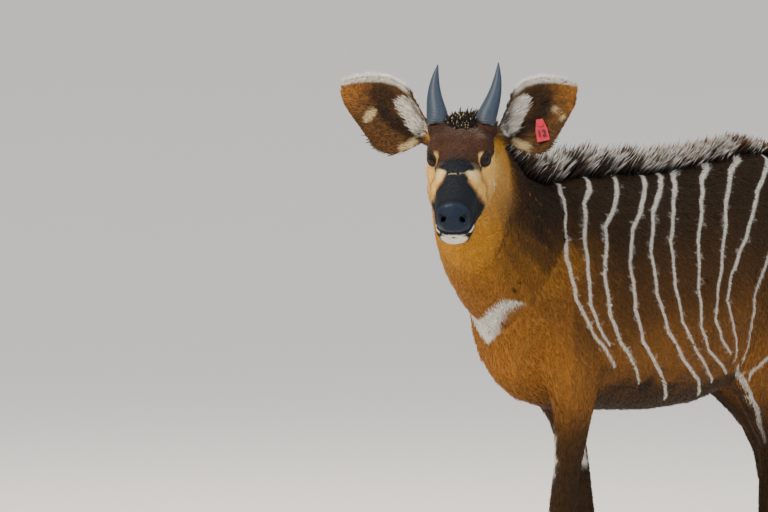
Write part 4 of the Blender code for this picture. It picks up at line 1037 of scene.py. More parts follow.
# %% The coat's tree
def coat_tree():
    tree = bpy.data.node_groups.new("tufts of hair", "GeometryNodeTree")
    for name, kind in (
        ("Geometry", "Geometry"),
        ("Tuft", "Object"),
        ("Tufts per square metre", "Float"),
        ("Wander", "Float"),
        ("Shortest", "Float"),
        ("Longest", "Float"),
        ("Seed", "Int"),
        ("Material", "Material"),
    ):
        tree.interface.new_socket(name, in_out="INPUT", socket_type="NodeSocket" + kind)
    tree.interface.new_socket("Geometry", in_out="OUTPUT", socket_type="NodeSocketGeometry")
    given = add(tree, "NodeGroupInput").outputs
    seed = {"Seed": given["Seed"]}
    vector = {"data_type": "FLOAT_VECTOR"}
    cover = add(tree, "GeometryNodeInputNamedAttribute", {"Name": "cover"}, data_type="FLOAT")
    grow = add(tree, "GeometryNodeInputNamedAttribute", {"Name": "grow"}, **vector)
    size = add(tree, "GeometryNodeInputNamedAttribute", {"Name": "size"}, **vector)
    away = add(tree, "GeometryNodeInputNamedAttribute", {"Name": "root_normal"}, **vector)
    wanted = {0: given["Tufts per square metre"], 1: cover}
    density = add(tree, "ShaderNodeMath", wanted, operation="MULTIPLY")
    bed = {"Mesh": given["Geometry"], "Density": density, **seed}
    strewn = add(tree, "GeometryNodeDistributePointsOnFaces", bed)
    place = add(tree, "GeometryNodeInputPosition")
    rooted = {"Geometry": strewn.outputs["Points"], "Name": "root", "Value": place}
    points = add(tree, "GeometryNodeStoreNamedAttribute", rooted, **vector)
    reach = {"Min": (-1.0, -1.0, -1.0), "Max": (1.0, 1.0, 1.0), **seed}
    stray = add(tree, "FunctionNodeRandomValue", reach, **vector)
    stray = add(tree, "ShaderNodeVectorMath", {0: stray, "Scale": given["Wander"]}, operation="SCALE")
    grown = add(tree, "ShaderNodeVectorMath", {0: grow, 1: stray}, operation="ADD")
    turn = add(tree, "FunctionNodeAlignRotationToVector", {"Vector": grown}, axis="X")
    turned = {"Rotation": turn, "Vector": away}
    turn = add(tree, "FunctionNodeAlignRotationToVector", turned, axis="Z", pivot_axis="X")
    between = {"Min": given["Shortest"], "Max": given["Longest"]}
    uneven = add(tree, "FunctionNodeRandomValue", between, data_type="FLOAT")
    scale = add(tree, "ShaderNodeVectorMath", {0: size, "Scale": uneven}, operation="SCALE")
    tuft = add(tree, "GeometryNodeObjectInfo", {"Object": given["Tuft"]}).outputs["Geometry"]
    each = {"Points": points, "Instance": tuft, "Rotation": turn, "Scale": scale}
    placed = add(tree, "GeometryNodeInstanceOnPoints", each)
    real = add(tree, "GeometryNodeRealizeInstances", {"Geometry": placed})
    dressed = {"Geometry": real, "Material": given["Material"]}
    add(tree, "NodeGroupOutput", {"Geometry": add(tree, "GeometryNodeSetMaterial", dressed)})
    return tree


TUFTS = coat_tree()
print("coat's tree:", len(TUFTS.nodes), "nodes")

# %% [markdown]
# Each piece of the coat borrows the skin's mesh, grows its tufts, and is then coloured: the marks
# are read at every ring of every tuft, so that a stripe stays crisp although the hair lies across
# it. For the export, every tuft also gets a small patch of its own on a map named OFBake, at its
# root's place on an unrolled copy of that part of the skin: along the part one way, round it the
# other.

# %% Growing a piece of coat
PATCH, PATCH_SPREAD = 0.003, 0.4
DENSITY_SHARE = 1.0
# Tufts per square metre where a part's cover is 1.
DENSITY = {
    "torso": 49500, "neck": 70000, "leg": 40000, "head": 116000, "ears": 110000,
    "mane": 115000, "tail": 66000, "crown": 300000, "fringe": 190000,
}
coat_counts = {}


def unrolled(points, axis_start, axis_way, front):
    """Places on a part unrolled about an axis, as shares from 0 to 1 each way."""
    axis_way = unit(axis_way)
    off = points - np.array(axis_start)
    along = off @ axis_way
    side = unit(np.cross(axis_way, np.array(front)))
    fore = np.cross(side, axis_way)
    round_it = np.arctan2(off @ side, off @ fore) / (2 * math.pi) + 0.5
    reach = max(np.ptp(along), 1e-6)
    return np.stack([round_it, (along - along.min()) / reach], axis=1) * 0.96 + 0.02


def about_axis(start, way, front):
    """A function that unrolls places about one axis, whatever the skin's directions there."""
    return lambda points, _normals: unrolled(points, start, way, front)


def tiled(maps, index, count):
    """Puts each point's map into its own strip of the square."""
    return np.stack([(maps[:, 0] + index) / count, maps[:, 1]], axis=1)


def read_vectors(mesh, name):
    flat = np.zeros(len(mesh.vertices) * 3)
    mesh.attributes[name].data.foreach_get("vector", flat)
    return flat.reshape(-1, 3)


def short_hair(stations, ways, part):
    """The coat's own colour at each ring of each tuft."""
    each = stations.shape[1]
    parts = np.full(len(stations) * each, BODY_PARTS.index(part))
    painted = coat_colours(stations.reshape(-1, 3), np.repeat(ways, each, axis=0), parts)
    return painted.reshape(stations.shape)


def cropped(places, roots):
    """Tufts by a stripe, shortened towards their roots, so that none carries white far off."""
    length = np.linalg.norm(places[:, -1] - roots, axis=1)[:, None]
    way = (places[:, -1] - roots) / length
    near = np.maximum(beside_stripe(roots), beside_stripe(places[:, -1]))[:, None]
    along = np.einsum("nki,ni->nk", places - roots[:, None], way)
    return places - way[:, None] * (along * STRIPE_CROP * near)[:, :, None]


def dress_tufts(mesh, form, part, colours, unroll, tint, seed):
    """Colours a piece's tufts, ring by ring, and lays each on its own patch of the map."""
    each = len(form.data.vertices)
    places = (vertex_array(mesh) - SHIFT).reshape(-1, each, 3)
    roots = read_vectors(mesh, "root")[::each] - SHIFT
    # Only the trunk's short hair grows among stripes.
    if colours is short_hair and part == "torso":
        places = cropped(places, roots)
        mesh.vertices.foreach_set("co", (places + SHIFT).ravel())
    ways = read_vectors(mesh, "root_normal")[::each]
    rings = places[:, :-1].reshape(len(places), -1, TUFT_SIDES, 3).mean(axis=2)
    painted = colours(np.concatenate([rings, places[:, -1:]], axis=1), ways, part)
    draw = np.random.default_rng(seed).normal(size=(len(roots), 1, 1)).clip(-2, 2)
    painted = painted * (1 + tint * draw)
    body = np.repeat(painted[:, :-1], TUFT_SIDES, axis=1)
    full = np.concatenate([body, painted[:, -1:]], axis=1).reshape(-1, 3)
    store(mesh, "coat_colour", with_alpha(full.clip(0, 1)), "FLOAT_COLOR")
    tips = vertex_array(form.data)[:, 0]
    store(mesh, "tip", np.tile(tips, len(roots)))
    corner = (np.arange(each) % TUFT_SIDES - 1) * PATCH_SPREAD
    patch = np.stack([tips - 0.5, corner], axis=1) * PATCH
    patches = (unroll(roots, ways)[:, None, :] + patch[None]).reshape(-1, 2)
    corners = np.zeros(len(mesh.loops), int)
    mesh.loops.foreach_get("vertex_index", corners)
    baked = mesh.uv_layers.new(name="OFBake")
    baked.data.foreach_set("uv", patches[corners].clip(0, 1).astype(np.float32).ravel())
    return len(roots)


def grow_coat(name, part, cover, way, size, density, unroll, **other):
    """One coloured piece of coat, on the skin of one part."""
    given = {"form": SHORT_TUFT, "colours": short_hair, "material": COAT_HAIR, "slot": "coat"}
    given.update({"wander": 0.12, "uneven": 0.25, "tint": 0.07, "seed": 1}, **other)
    bed = skin.data.copy()
    store(bed, "cover", cover)
    store(bed, "grow", way, "FLOAT_VECTOR")
    store(bed, "root_normal", skin_normals, "FLOAT_VECTOR")
    store(bed, "size", size, "FLOAT_VECTOR")
    piece = new_object(name, bed)
    growth = piece.modifiers.new("growth", "NODES")
    growth.node_group = TUFTS
    values = {
        "Tuft": given["form"],
        "Tufts per square metre": density * DENSITY_SHARE,
        "Wander": given["wander"],
        "Shortest": 1 - given["uneven"],
        "Longest": 1 + given["uneven"],
        "Seed": given["seed"],
        "Material": given["material"],
    }
    for socket in TUFTS.interface.items_tree:
        if socket.in_out == "INPUT" and socket.name in values:
            growth[socket.identifier] = values[socket.name]
    mesh = modified(piece).data
    dressing = [given[word] for word in ("tint", "seed")]
    count = dress_tufts(mesh, given["form"], part, given["colours"], unroll, *dressing)
    for spare in ("root", "root_normal", "cover", "grow", "size", "flow", "bare"):
        if spare in mesh.attributes:
            mesh.attributes.remove(mesh.attributes[spare])
    shade_smooth(mesh)
    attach(piece, "root")
    coat_counts[name] = triangle_count(mesh)
    print(name, count, "tufts,", coat_counts[name], "triangles")


# %% [markdown]
# Body hair is about 12 mm long, and leg hair half that by the feet. By a stripe the tufts are
# shorter and closer, for a crisp edge. The pieces are split by part so that none grows too heavy,
# and every tuft rises by only a few degrees, because a summer coat lies flat.

# %% The short coat on the body
RISE = math.radians(7)
skin_local = skin_points - SHIFT
head_place = in_head(skin_local)
grow_flat = lie * math.cos(RISE) + skin_normals * math.sin(RISE)
x, y, z = skin_local.T
TORSO_SPLIT = 0.30


def sizes(length, width, rise):
    """Length, width and rise of the tufts at each point of the skin, in metres."""
    made = np.zeros((len(skin_points), 3))
    made[:, 0], made[:, 1], made[:, 2] = length, width, rise
    return made


def unroll_leg(points, _normals):
    return unrolled(points, points.mean(axis=0), (0, 0, 1), (1, 0, 0))


unroll_torso = about_axis((0, 0, 0.76), (1, 0, 0), (0, 0, 1))
unroll_neck = about_axis((-0.30, -0.06, 1.0), LIES["neck"], (-1, 0, 0))


belly = smoothstep(-skin_normals[:, 2], 0.3, 0.8)
by_stripe = beside_stripe(skin_local)
torso_size = sizes(0.0120 + 0.006 * belly, 0.0017 - 0.0003 * by_stripe, 0.0017)
on_torso = part_mask(skin_parts, "torso").astype(float)
on_neck = part_mask(skin_parts, "neck").astype(float)
on_leg = part_mask(skin_parts, "leg").astype(float)
for word, side in SIDES:
    for end, here in (("front", x < TORSO_SPLIT), ("rear", x >= TORSO_SPLIT)):
        cover = on_torso * (y * side > 0) * here * (1 + 1.5 * by_stripe)
        name = f"coat_torso_{end}_{word}"
        given = (grow_flat, torso_size, DENSITY["torso"], unroll_torso)
        grow_coat(name, "torso", cover, *given, seed=11 + side)
neck_size = sizes(0.0125, 0.0017, 0.0018)
given = (grow_flat, neck_size, DENSITY["neck"], unroll_neck)
grow_coat("coat_neck", "neck", on_neck, *given, seed=21)
low = fade(z, 0.25, 0.50)
leg_long = 0.0060 + 0.0060 * smoothstep(z, 0.12, 0.60) + 0.0030 * fade(z, 0.045, 0.065)
leg_size = sizes(leg_long, 0.0012 + 0.0005 * (1 - low), 0.0015)
for end, here in (("fore", x < 0.40), ("hind", x >= 0.40)):
    for word, side in SIDES:
        cover = on_leg * (1.0 + 0.3 * low) * here * (y * side > 0)
        name = f"coat_{end}leg_{word}"
        given = (grow_flat, leg_size, DENSITY["leg"], unroll_leg)
        grow_coat(name, "leg", cover, *given, seed=31 + side)

# %% [markdown]
# The face has the finest hair: 7 mm on the brow and half that on the muzzle. The ears' backs are
# as short, but the hair inside their cups is longer.

# %% The short coat on the head
def unroll_ears(points, normals):
    """Four strips of the map: the inside and the outside of each ear."""
    made = np.zeros((len(points), 2))
    sides = np.sign(in_head(points)[:, 1])
    for index, (_word, side) in enumerate(SIDES):
        mine = sides == -side
        share, across, _front = in_ear(points[mine], side)
        inner = normals[mine] @ EAR_AXES[side][2] > 0
        flat = np.stack([(across + 0.09) / 0.18, share.clip(-0.15, 1.1) / 1.3 + 0.13], axis=1)
        flat = flat.clip(0.01, 0.99)
        made[mine] = np.where(inner[:, None], tiled(flat, index, 4), tiled(flat, index + 2, 4))
    return made


unroll_head = about_axis(POLL + HEAD_AXES[2] * -0.04, HEAD_AXES[0], HEAD_AXES[2])
muzzle = smoothstep(head_place[:, 0], 0.15, 0.25)
around_eye = smoothstep(lid_place(head_place)[1], 1.2, 2.4)
head_length = (0.0070 - 0.0036 * muzzle) * (0.40 + 0.60 * around_eye)
head_size = sizes(head_length, 0.0012 - 0.0002 * muzzle, 0.0007)
on_head = part_mask(skin_parts, "head") * (1 - bare)
face = {"slot": "face", "wander": 0.08, "tint": 0.05}
given = (grow_flat, head_size, DENSITY["head"], unroll_head)
grow_coat("coat_head", "head", on_head, *given, seed=41, **face)
on_ear = part_mask(skin_parts, "ear").astype(float)
ear_size = sizes(0.0080, 0.0010, 0.0011)
given = (grow_flat, ear_size, DENSITY["ears"], unroll_ears)
grow_coat("coat_ears", "ear", on_ear, *given, seed=51, **face)

# %% [markdown]
# Long hair comes next. The mane stands in a stiff crest from the neck to the rump and leans back.
# Its hairs are dark at the root, and many of them end in white, in clumps of a few centimetres and
# where a stripe reaches the crest. The others end in dark brown, chestnut or orange.

# %% The mane
MANE_HEIGHTS = [
    (-0.42, 0.014), (-0.33, 0.022), (-0.25, 0.036), (-0.15, 0.046), (-0.06, 0.052), (0.06, 0.054),
    (0.20, 0.052), (0.35, 0.047), (0.48, 0.042), (0.59, 0.034), (0.70, 0.020), (0.78, 0.012),
]
MANE_REACH, MANE_WIDTH = 0.032, 0.0018


def two_tone(root, tip, stations, start=0.25, end=0.9):
    """Hair with one colour at the root and another at the tip."""
    share = smoothstep(np.linspace(0, 1, stations.shape[1]), start, end)[None, :, None]
    return root[:, None, :] * (1 - share) + tip[:, None, :] * share


def mane_colours(stations, ways, part):
    points = stations[:, 0]
    along = points[:, 0]
    draw = np.random.default_rng(7)
    root = np.tile(PALETTE["crown"] * 1.1, (len(points), 1))
    tip = np.tile(PALETTE["deep"], (len(points), 1))
    paint(tip, "orange", 0.75 * smoothstep(along, 0.10, 0.42) * (draw.random(len(points)) < 0.6))
    paint(tip, "chestnut", 0.8 * (draw.random(len(points)) < 0.4))
    clump = 0.5 * wave(points * [1, 2.2, 0], 0.030) + 0.5 * wave(points * [1, 1.5, 0], 0.071, 3)
    middle = smoothstep(along, -0.30, -0.12) * fade(along, 0.36, 0.60)
    whitish = -0.06 + 0.24 * middle + 0.70 * clump
    side = np.stack([along, np.minimum(points[:, 2], 1.0)], axis=1)
    for line in STRIPES[:10]:
        whitish = np.maximum(whitish, 0.9 * fade(polyline(side, line)[0], 0.008, 0.020))
    white = (draw.random(len(points)) < whitish) * (0.65 + 0.35 * draw.random(len(points)))
    paint(tip, "white", white)
    paint(root, "grey", 0.6 * white)
    return two_tone(root, tip, stations, 0.42, 1.0)


_along, crest_across, crest_distance = crest_frame(skin_local)
mane_tall = np.interp(x, *zip(*MANE_HEIGHTS))
crest_share = crest_distance / MANE_REACH
on_crest = (crest_share < 1) & (skin_normals[:, 2] > 0.2) & (head_place[:, 0] < -0.03)
mane_cover = on_crest * (1 - 0.5 * crest_share**2) * (z > 0.85)
mane_way = np.tile([0.85, 0.0, 1.0], (len(skin_local), 1))
mane_way[:, 1] = crest_across / MANE_REACH * 0.55
mane_way[:, 0] += 0.40 * wave(skin_local, 0.045)
mane_way[:, 1] += 0.16 * wave(skin_local, 0.038, 4)
mane_way = np.where(x[:, None] < -0.15, mane_way + [0.35, 0.10, 0.0], mane_way)
mane_way /= np.linalg.norm(mane_way, axis=1)[:, None]
long_hair = {"slot": "dark_coat", "form": LONG_TUFT, "material": LONG_HAIR}
mane_size = sizes(mane_tall * (1.14 - 0.34 * crest_share**2), MANE_WIDTH, 0.0070)
given = (mane_way, mane_size, DENSITY["mane"], unroll_torso)
looks = {"colours": mane_colours, "wander": 0.20, "uneven": 0.30, **long_hair}
grow_coat("mane", "torso", mane_cover, *given, seed=61, **looks)

# %% [markdown]
# The tail's hair is two centimetres long above, and from half way down it is the long dark tuft.

# %% The tail
TAIL_AT, TUFT_HIGH, TUFT_LOW, TAIL_END = (0.839, 0.0, 0.7), 0.70, 0.60, 0.452


def tail_colours(stations, ways, part):
    high = stations[:, 0, 2]
    root = np.tile(PALETTE["chestnut"], (len(high), 1))
    paint(root, "crown", fade(high, TUFT_LOW, TUFT_HIGH))
    tip = root * 0.9
    paint(tip, "cream", 0.35 * smoothstep(high, 0.62, 0.75))
    return two_tone(root, tip, stations)


unroll_tail = about_axis(TAIL_AT, (0, 0, 1), (1, 0, 0))
tuft_share = fade(z, TUFT_LOW, TUFT_HIGH)
tail_way = np.array([0.0, 0.0, -1.0]) + skin_normals * (0.12 + 0.06 * tuft_share[:, None])
tail_way /= np.linalg.norm(tail_way, axis=1)[:, None]
tail_long = np.where(tuft_share > 0.3, np.clip(z - TAIL_END, 0.012, 0.075), 0.022)
tail_cover = part_mask(skin_parts, "tail") * (0.7 + 0.9 * tuft_share)
tail_size = sizes(tail_long, 0.0019 + 0.0005 * tuft_share, 0.0030)
given = (tail_way, tail_size, DENSITY["tail"], unroll_tail)
grow_coat("tail_hair", "tail", tail_cover, *given, seed=71, colours=tail_colours, **long_hair)

# %% [markdown]
# The crown's tuft is black, short and bristly, with a few pale hairs, and runs a little way down
# the forehead, where it is shortest.

# %% The crown
CROWN_MIDDLE, CROWN_REACH = (0.016, 0.0), (0.044, 0.033)


def crown_colours(stations, ways, part):
    root = np.tile(PALETTE["crown"] * 0.7, (len(stations), 1))
    tip = root * 1.15
    paint(tip, "cream", 0.8 * (np.random.default_rng(8).random(len(stations)) < 0.09))
    return two_tone(root, tip, stations)


unroll_crown = about_axis(POLL, HEAD_AXES[2], HEAD_AXES[0])
crown_at = ellipse(head_place[:, 0], head_place[:, 1], CROWN_MIDDLE, CROWN_REACH)
crown_cover = fade(crown_at, 0.55, 1.05) * (head_place[:, 2] > 0.005)
crown_way = HEAD_AXES[2] * 0.7 + skin_normals * 0.4 - HEAD_AXES[0] * 0.55
crown_way /= np.linalg.norm(crown_way, axis=1)[:, None]
crown_long = 0.0088 - 0.0045 * smoothstep(head_place[:, 0], -0.005, 0.035)
crown_size = sizes(crown_long, 0.0013, 0.0020)
given = (crown_way, crown_size, DENSITY["crown"], unroll_crown)
looks = {"colours": crown_colours, "wander": 0.42, "uneven": 0.45, **long_hair}
grow_coat("crown_hair", "head", crown_cover, *given, seed=81, **looks)

# %% [markdown]
# The ears' fringes grow from their rims and lie outwards over the edge. Inside each cup a patch
# of long white hair lies across the ear, away from the head.

# %% The ears' fringes
fringe_cover = np.zeros(len(skin_points))
fringe_way = lie.copy()
fringe_long = np.full(len(skin_points), 0.012)
for _word, side in SIDES:
    mine = part_mask(skin_parts, "ear") & (head_place[:, 1] * -side > 0)
    facing = skin_normals @ EAR_AXES[side][2]
    share, across, _front = in_ear(skin_local, side)
    edge = np.interp(share, EDGE_SHARES, EDGE_REACHES)
    tip_way, edge_way, cup_way = EAR_AXES[side]
    on_rim = mine & (across > edge - 0.011) & (share > 0.28)
    low_rim = mine & (across < -edge + 0.006) & (share > 0.15)
    patch_at = polyline(np.stack([share * EAR_LENGTH[side], across], axis=1), WHITE_PATCH)[0]
    patch = mine & (facing > 0.1) & (patch_at < 0.016)
    for place, cover, long, ways in (
        (on_rim, 1.0, 0.0125, (0.62, 0.80, 0.12)),
        (low_rim, 0.5, 0.0100, (0.70, -0.80, 0.10)),
        (patch, 0.75, 0.0200, (0.80, 0.10, 0.34)),
    ):
        fringe_cover[place], fringe_long[place] = cover, long
        fringe_way[place] = ways[0] * tip_way + ways[1] * edge_way + ways[2] * cup_way
fringe_way /= np.linalg.norm(fringe_way, axis=1)[:, None]


def fringe_colours(stations, ways, part):
    """Each long hair keeps the colour of the place where it grows."""
    return np.repeat(short_hair(stations[:, :1], ways, part), stations.shape[1], axis=1)


fringe_size = sizes(fringe_long, 0.0012, 0.0016)
fringe = {"slot": "face", "form": LONG_TUFT, "material": LONG_HAIR, "colours": fringe_colours}
given = (fringe_way, fringe_size, DENSITY["fringe"], unroll_ears)
grow_coat("ear_fringes", "ear", fringe_cover, *given, wander=0.16, seed=91, **fringe)
for form in (SHORT_TUFT, LONG_TUFT):
    bpy.data.objects.remove(form)
print("coat in all:", sum(coat_counts.values()), "triangles")

# %% [markdown]
# The skin stands for all the flesh of the solids, so it is what replaces them.

# %% The skin stands for the flesh
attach(skin, "root")
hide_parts(*FLESH, *EARS)

# %% [markdown]
# An antelope's eye is dark brown with a wide, level pupil, under a clear, wet cornea. Here one
# ball carries it all: the colours follow the angle from the way the eye looks, and a clear coat
# gives the wet shine. Each point keeps its own place in the eye, so that the colours stay put.

# %% The eyes
IRIS_REACH, IRIS_EDGE, PUPIL_HALF, PUPIL_HIGH, CORNEA_IOR = 0.80, 0.08, 0.50, 0.30, 1.376
eye_material, tree, shader = new_material("wet eyeball")
place = add(tree, "ShaderNodeAttribute", attribute_name="gaze")
split = add(tree, "ShaderNodeSeparateXYZ", {0: place.outputs["Vector"]})
shape = (0.0, 1 / PUPIL_HALF, 1 / PUPIL_HIGH)
pupil = {0: place.outputs["Vector"], 1: shape}
pupil = add(tree, "ShaderNodeVectorMath", pupil, operation="MULTIPLY")
pupil = add(tree, "ShaderNodeVectorMath", {0: pupil}, operation="LENGTH")
around = add(tree, "ShaderNodeCombineXYZ", {"X": split.outputs["Y"], "Y": split.outputs["Z"]})
around = add(tree, "ShaderNodeVectorMath", {0: around.outputs["Vector"]}, operation="LENGTH")
fibres = {"Vector": place.outputs["Vector"], "Scale": 14.0, "Detail": 3.0}
fibres = add(tree, "ShaderNodeTexNoise", fibres).outputs["Fac"]
brown = {"Factor": fibres, "A": linear("#0A0604"), "B": linear("#26140B")}
brown = add(tree, "ShaderNodeMix", brown, data_type="RGBA")
inside = {"Value": pupil.outputs["Value"], "From Min": 0.9, "From Max": 1.1}
inside = add(tree, "ShaderNodeMapRange", inside)
dark = {"Factor": inside, "A": linear("#050405"), "B": brown}
dark = add(tree, "ShaderNodeMix", dark, data_type="RGBA")
rim = {"Value": around.outputs["Value"], "From Min": IRIS_REACH - IRIS_EDGE, "From Max": IRIS_REACH}
rim = add(tree, "ShaderNodeMapRange", rim)
whole = {"Factor": rim, "A": dark, "B": linear("#0B0807")}
whole = add(tree, "ShaderNodeMix", whole, data_type="RGBA")
plug(tree, shader, {"Base Color": whole})
plug(tree, shader, {"Roughness": 0.35, "Specular IOR Level": 0.1, "Coat Weight": 0.4})
plug(tree, shader, {"Coat Roughness": 0.03, "Coat IOR": CORNEA_IOR})


def mesh_piece(name, points, faces, material):
    """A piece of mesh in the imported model's frame, on the animal's one body."""
    made = new_object(name, from_arrays(name, points, faces), material)
    shade_smooth(made.data)
    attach(made, "root")
    return made


for word, side in SIDES:
    along, left, up = EYE_AT
    centre = np.array(from_head(along, -side * left, up))
    axes = eye_frame(side) @ HEAD_AXES
    ball = bmesh.new()
    bmesh.ops.create_icosphere(ball, subdivisions=5, radius=EYE_RADIUS)
    data = bpy.data.meshes.new("eyeball_" + word)
    ball.to_mesh(data)
    ball.free()
    points = vertex_array(data)
    store(data, "gaze", points @ axes.T / EYE_RADIUS, "FLOAT_VECTOR")
    data.vertices.foreach_set("co", (points + centre).ravel())
    shade_smooth(data)
    eyeball = new_object("eyeball_" + word, data, eye_material)
    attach(eyeball, "root")
    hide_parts("eye_" + word)
print("eyes done")

# %% [markdown]
# The lids are thin folds of dark, bare skin that slide over the ball, so each pair is modelled as
# a shell just outside the ball, with an almond opening. It is laid out about the right eye and
# mirrored. Two soft ridges round it are the folds that the lids gather when they open. The upper
# lid carries lashes, each one a fine tuft of its own.

# %% The lids and lashes
LID_STEPS, LID_ROWS, LID_OUT = 56, 9, 1.02
SLIT_HALF, SLIT_UP, SLIT_DOWN, SLIT_POINT = 0.0128, 0.0084, 0.0078, 1.25
LID_STAND, LID_FOLD, LID_WALL = 0.0008, 0.0004, 0.0006
LASHES, LASH_LONG, LASH_WIDE = 44, 0.0075, 0.0006
lid_material, tree, shader = new_material("bare skin of the lids")
place = add(tree, "ShaderNodeTexCoord").outputs["Object"]
grain = add(tree, "ShaderNodeTexVoronoi", {"Vector": place, "Scale": 1 / 0.0008})
bump = add(tree, "ShaderNodeBump", {"Strength": 0.5, "Distance": 0.0002, "Height": grain})
plug(tree, shader, {"Base Color": linear("#261B15"), "Roughness": 0.72, "Normal": bump})
plug(tree, shader, {"Specular IOR Level": 0.2})
lash_material, tree, shader = new_material("black lash hair")
plug(tree, shader, {"Base Color": linear("#0C0908"), "Roughness": 0.5})


def lid_point(turn, share):
    """A place on the right eye's lids in the eye's axes: share 0 is the opening's edge."""
    c, s = math.cos(turn), math.sin(turn)
    high = SLIT_UP if s > 0 else SLIT_DOWN
    inner = np.array([SLIT_HALF * c, high * math.copysign(abs(s) ** SLIT_POINT, s)])
    outer = np.array([LID_REACH[0] * c, LID_REACH[1] * s]) * LID_OUT
    y_z = inner + (outer - inner) * share
    stand = LID_STAND * min(share * 6, 1) + LID_FOLD * math.sin(2 * math.pi * 2 * share) * share
    far = EYE_RADIUS + 0.0003 + stand
    return np.array([math.sqrt(max(far**2 - y_z @ y_z, 1e-7)), *y_z])


def from_eye(local, side):
    """Places in the right eye's axes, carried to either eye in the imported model's frame."""
    a, s, u = EYE_AT
    head = local @ eye_frame(RIGHT) + [a, -s, u]
    head[:, 1] *= side
    return head @ HEAD_AXES + POLL + SHIFT


def eyelids(word, side):
    turns = [2 * math.pi * k / LID_STEPS for k in range(LID_STEPS)]
    shares = [row / (LID_ROWS - 1) for row in range(LID_ROWS)]
    local = np.array([lid_point(turn, share) for share in shares for turn in turns])
    faces = []
    for row in range(LID_ROWS - 1):
        for k in range(LID_STEPS):
            here, beside = row * LID_STEPS + k, row * LID_STEPS + (k + 1) % LID_STEPS
            face = (here, here + LID_STEPS, beside + LID_STEPS, beside)
            faces.append(face if side == RIGHT else face[::-1])
    made = new_object("eyelids_" + word, from_arrays("lids", from_eye(local, side), faces))
    wall = made.modifiers.new("wall", "SOLIDIFY")
    wall.thickness, wall.offset = LID_WALL, -1.0
    data = modified(made).data
    bpy.data.objects.remove(made)
    data.materials.clear()
    shade_smooth(data)
    lids = new_object("eyelids_" + word, data, lid_material)
    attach(lids, "root")


def lashes(word, side):
    form = tuft_form(3)
    shape, form_faces = vertex_array(form.data), [tuple(p.vertices) for p in form.data.polygons]
    bpy.data.objects.remove(form)
    draw = np.random.default_rng(101)
    points, faces = [], []
    for k in range(LASHES):
        turn = math.pi * (0.10 + 0.80 * k / (LASHES - 1))
        root = lid_point(turn, 0.10)
        out = unit(root)
        way = unit(out * 0.9 + [0.1, 0.15 * math.cos(turn), 0.55] + 0.12 * draw.normal(size=3))
        across = unit(np.cross(out, way))
        size = np.array([LASH_LONG * draw.uniform(0.7, 1.1), LASH_WIDE, LASH_LONG * 0.3])
        base = len(points) * len(shape)
        points.append(root + shape * size @ np.array([way, across, np.cross(way, across)]))
        for face in form_faces:
            moved = tuple(i + base for i in face)
            faces.append(moved if side == RIGHT else moved[::-1])
    placed = from_eye(np.concatenate(points), side)
    mesh_piece("lashes_" + word, placed, faces, lash_material)


for word, side in SIDES:
    eyelids(word, side)
    lashes(word, side)
print("lids and", 2 * LASHES, "lashes done")

# %% [markdown]
# Horn and hoof are keratin, grown in thin layers, so a young horn shows fine rings, which fade
# towards its tip. The solids' horns are rounded by subdivision and the rings are raised in the
# mesh itself, half a millimetre high and about 5 mm apart.

# %% Horns
RING_STEP, RING_HEIGHT, HORN_GRAIN = 0.0048, 0.00050, 1 / 420
horn_material, tree, shader = new_material("horn keratin")
place = add(tree, "ShaderNodeTexCoord")
share_at = add(tree, "ShaderNodeAttribute", attribute_name="share")
grain = {"Vector": place.outputs["Object"], "Scale": 1 / HORN_GRAIN, "Detail": 4.0}
grain = add(tree, "ShaderNodeTexNoise", grain).outputs["Fac"]
blue = {"Factor": grain, "A": linear("#151F2B"), "B": linear("#37475A")}
blue = add(tree, "ShaderNodeMix", blue, data_type="RGBA")
base = {"Value": share_at.outputs["Fac"], "From Max": 0.35, "To Min": 0.45, "To Max": 0.0}
base = add(tree, "ShaderNodeMapRange", base)
tone = {"Factor": base, "A": blue, "B": linear("#5A554C")}
tone = add(tree, "ShaderNodeMix", tone, data_type="RGBA")
bump = add(tree, "ShaderNodeBump", {"Strength": 0.5, "Distance": 0.0006, "Height": grain})
plug(tree, shader, {"Base Color": tone, "Normal": bump})
plug(tree, shader, {"Roughness": 0.50, "Specular IOR Level": 0.3})
for word, _side in SIDES:
    data = subdivided("horn_" + word, 3)
    points, ways = vertex_array(data), vertex_array(data, "normals")
    height = in_head(points - SHIFT)[:, 2]
    share = (height - height.min()) / np.ptp(height)
    ripple = np.sin(share * 0.12 / RING_STEP * 2 * math.pi + 2.0 * np.sin(9 * share))
    points += ways * (RING_HEIGHT * ripple * (1 - share) * (share > 0.02))[:, None]
    data.vertices.foreach_set("co", points.ravel())
    shade_smooth(data)
    store(data, "share", share)
    horn = new_object("horn_sheath_" + word, data, horn_material)
    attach(horn, "root")
    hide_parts("horn_" + word)
print("horns done")

# %% [markdown]
# The hooves are the same keratin, dark brown, with fine growth lines round them. They are rounded
# like the horns, but their soles stay flat on the floor.

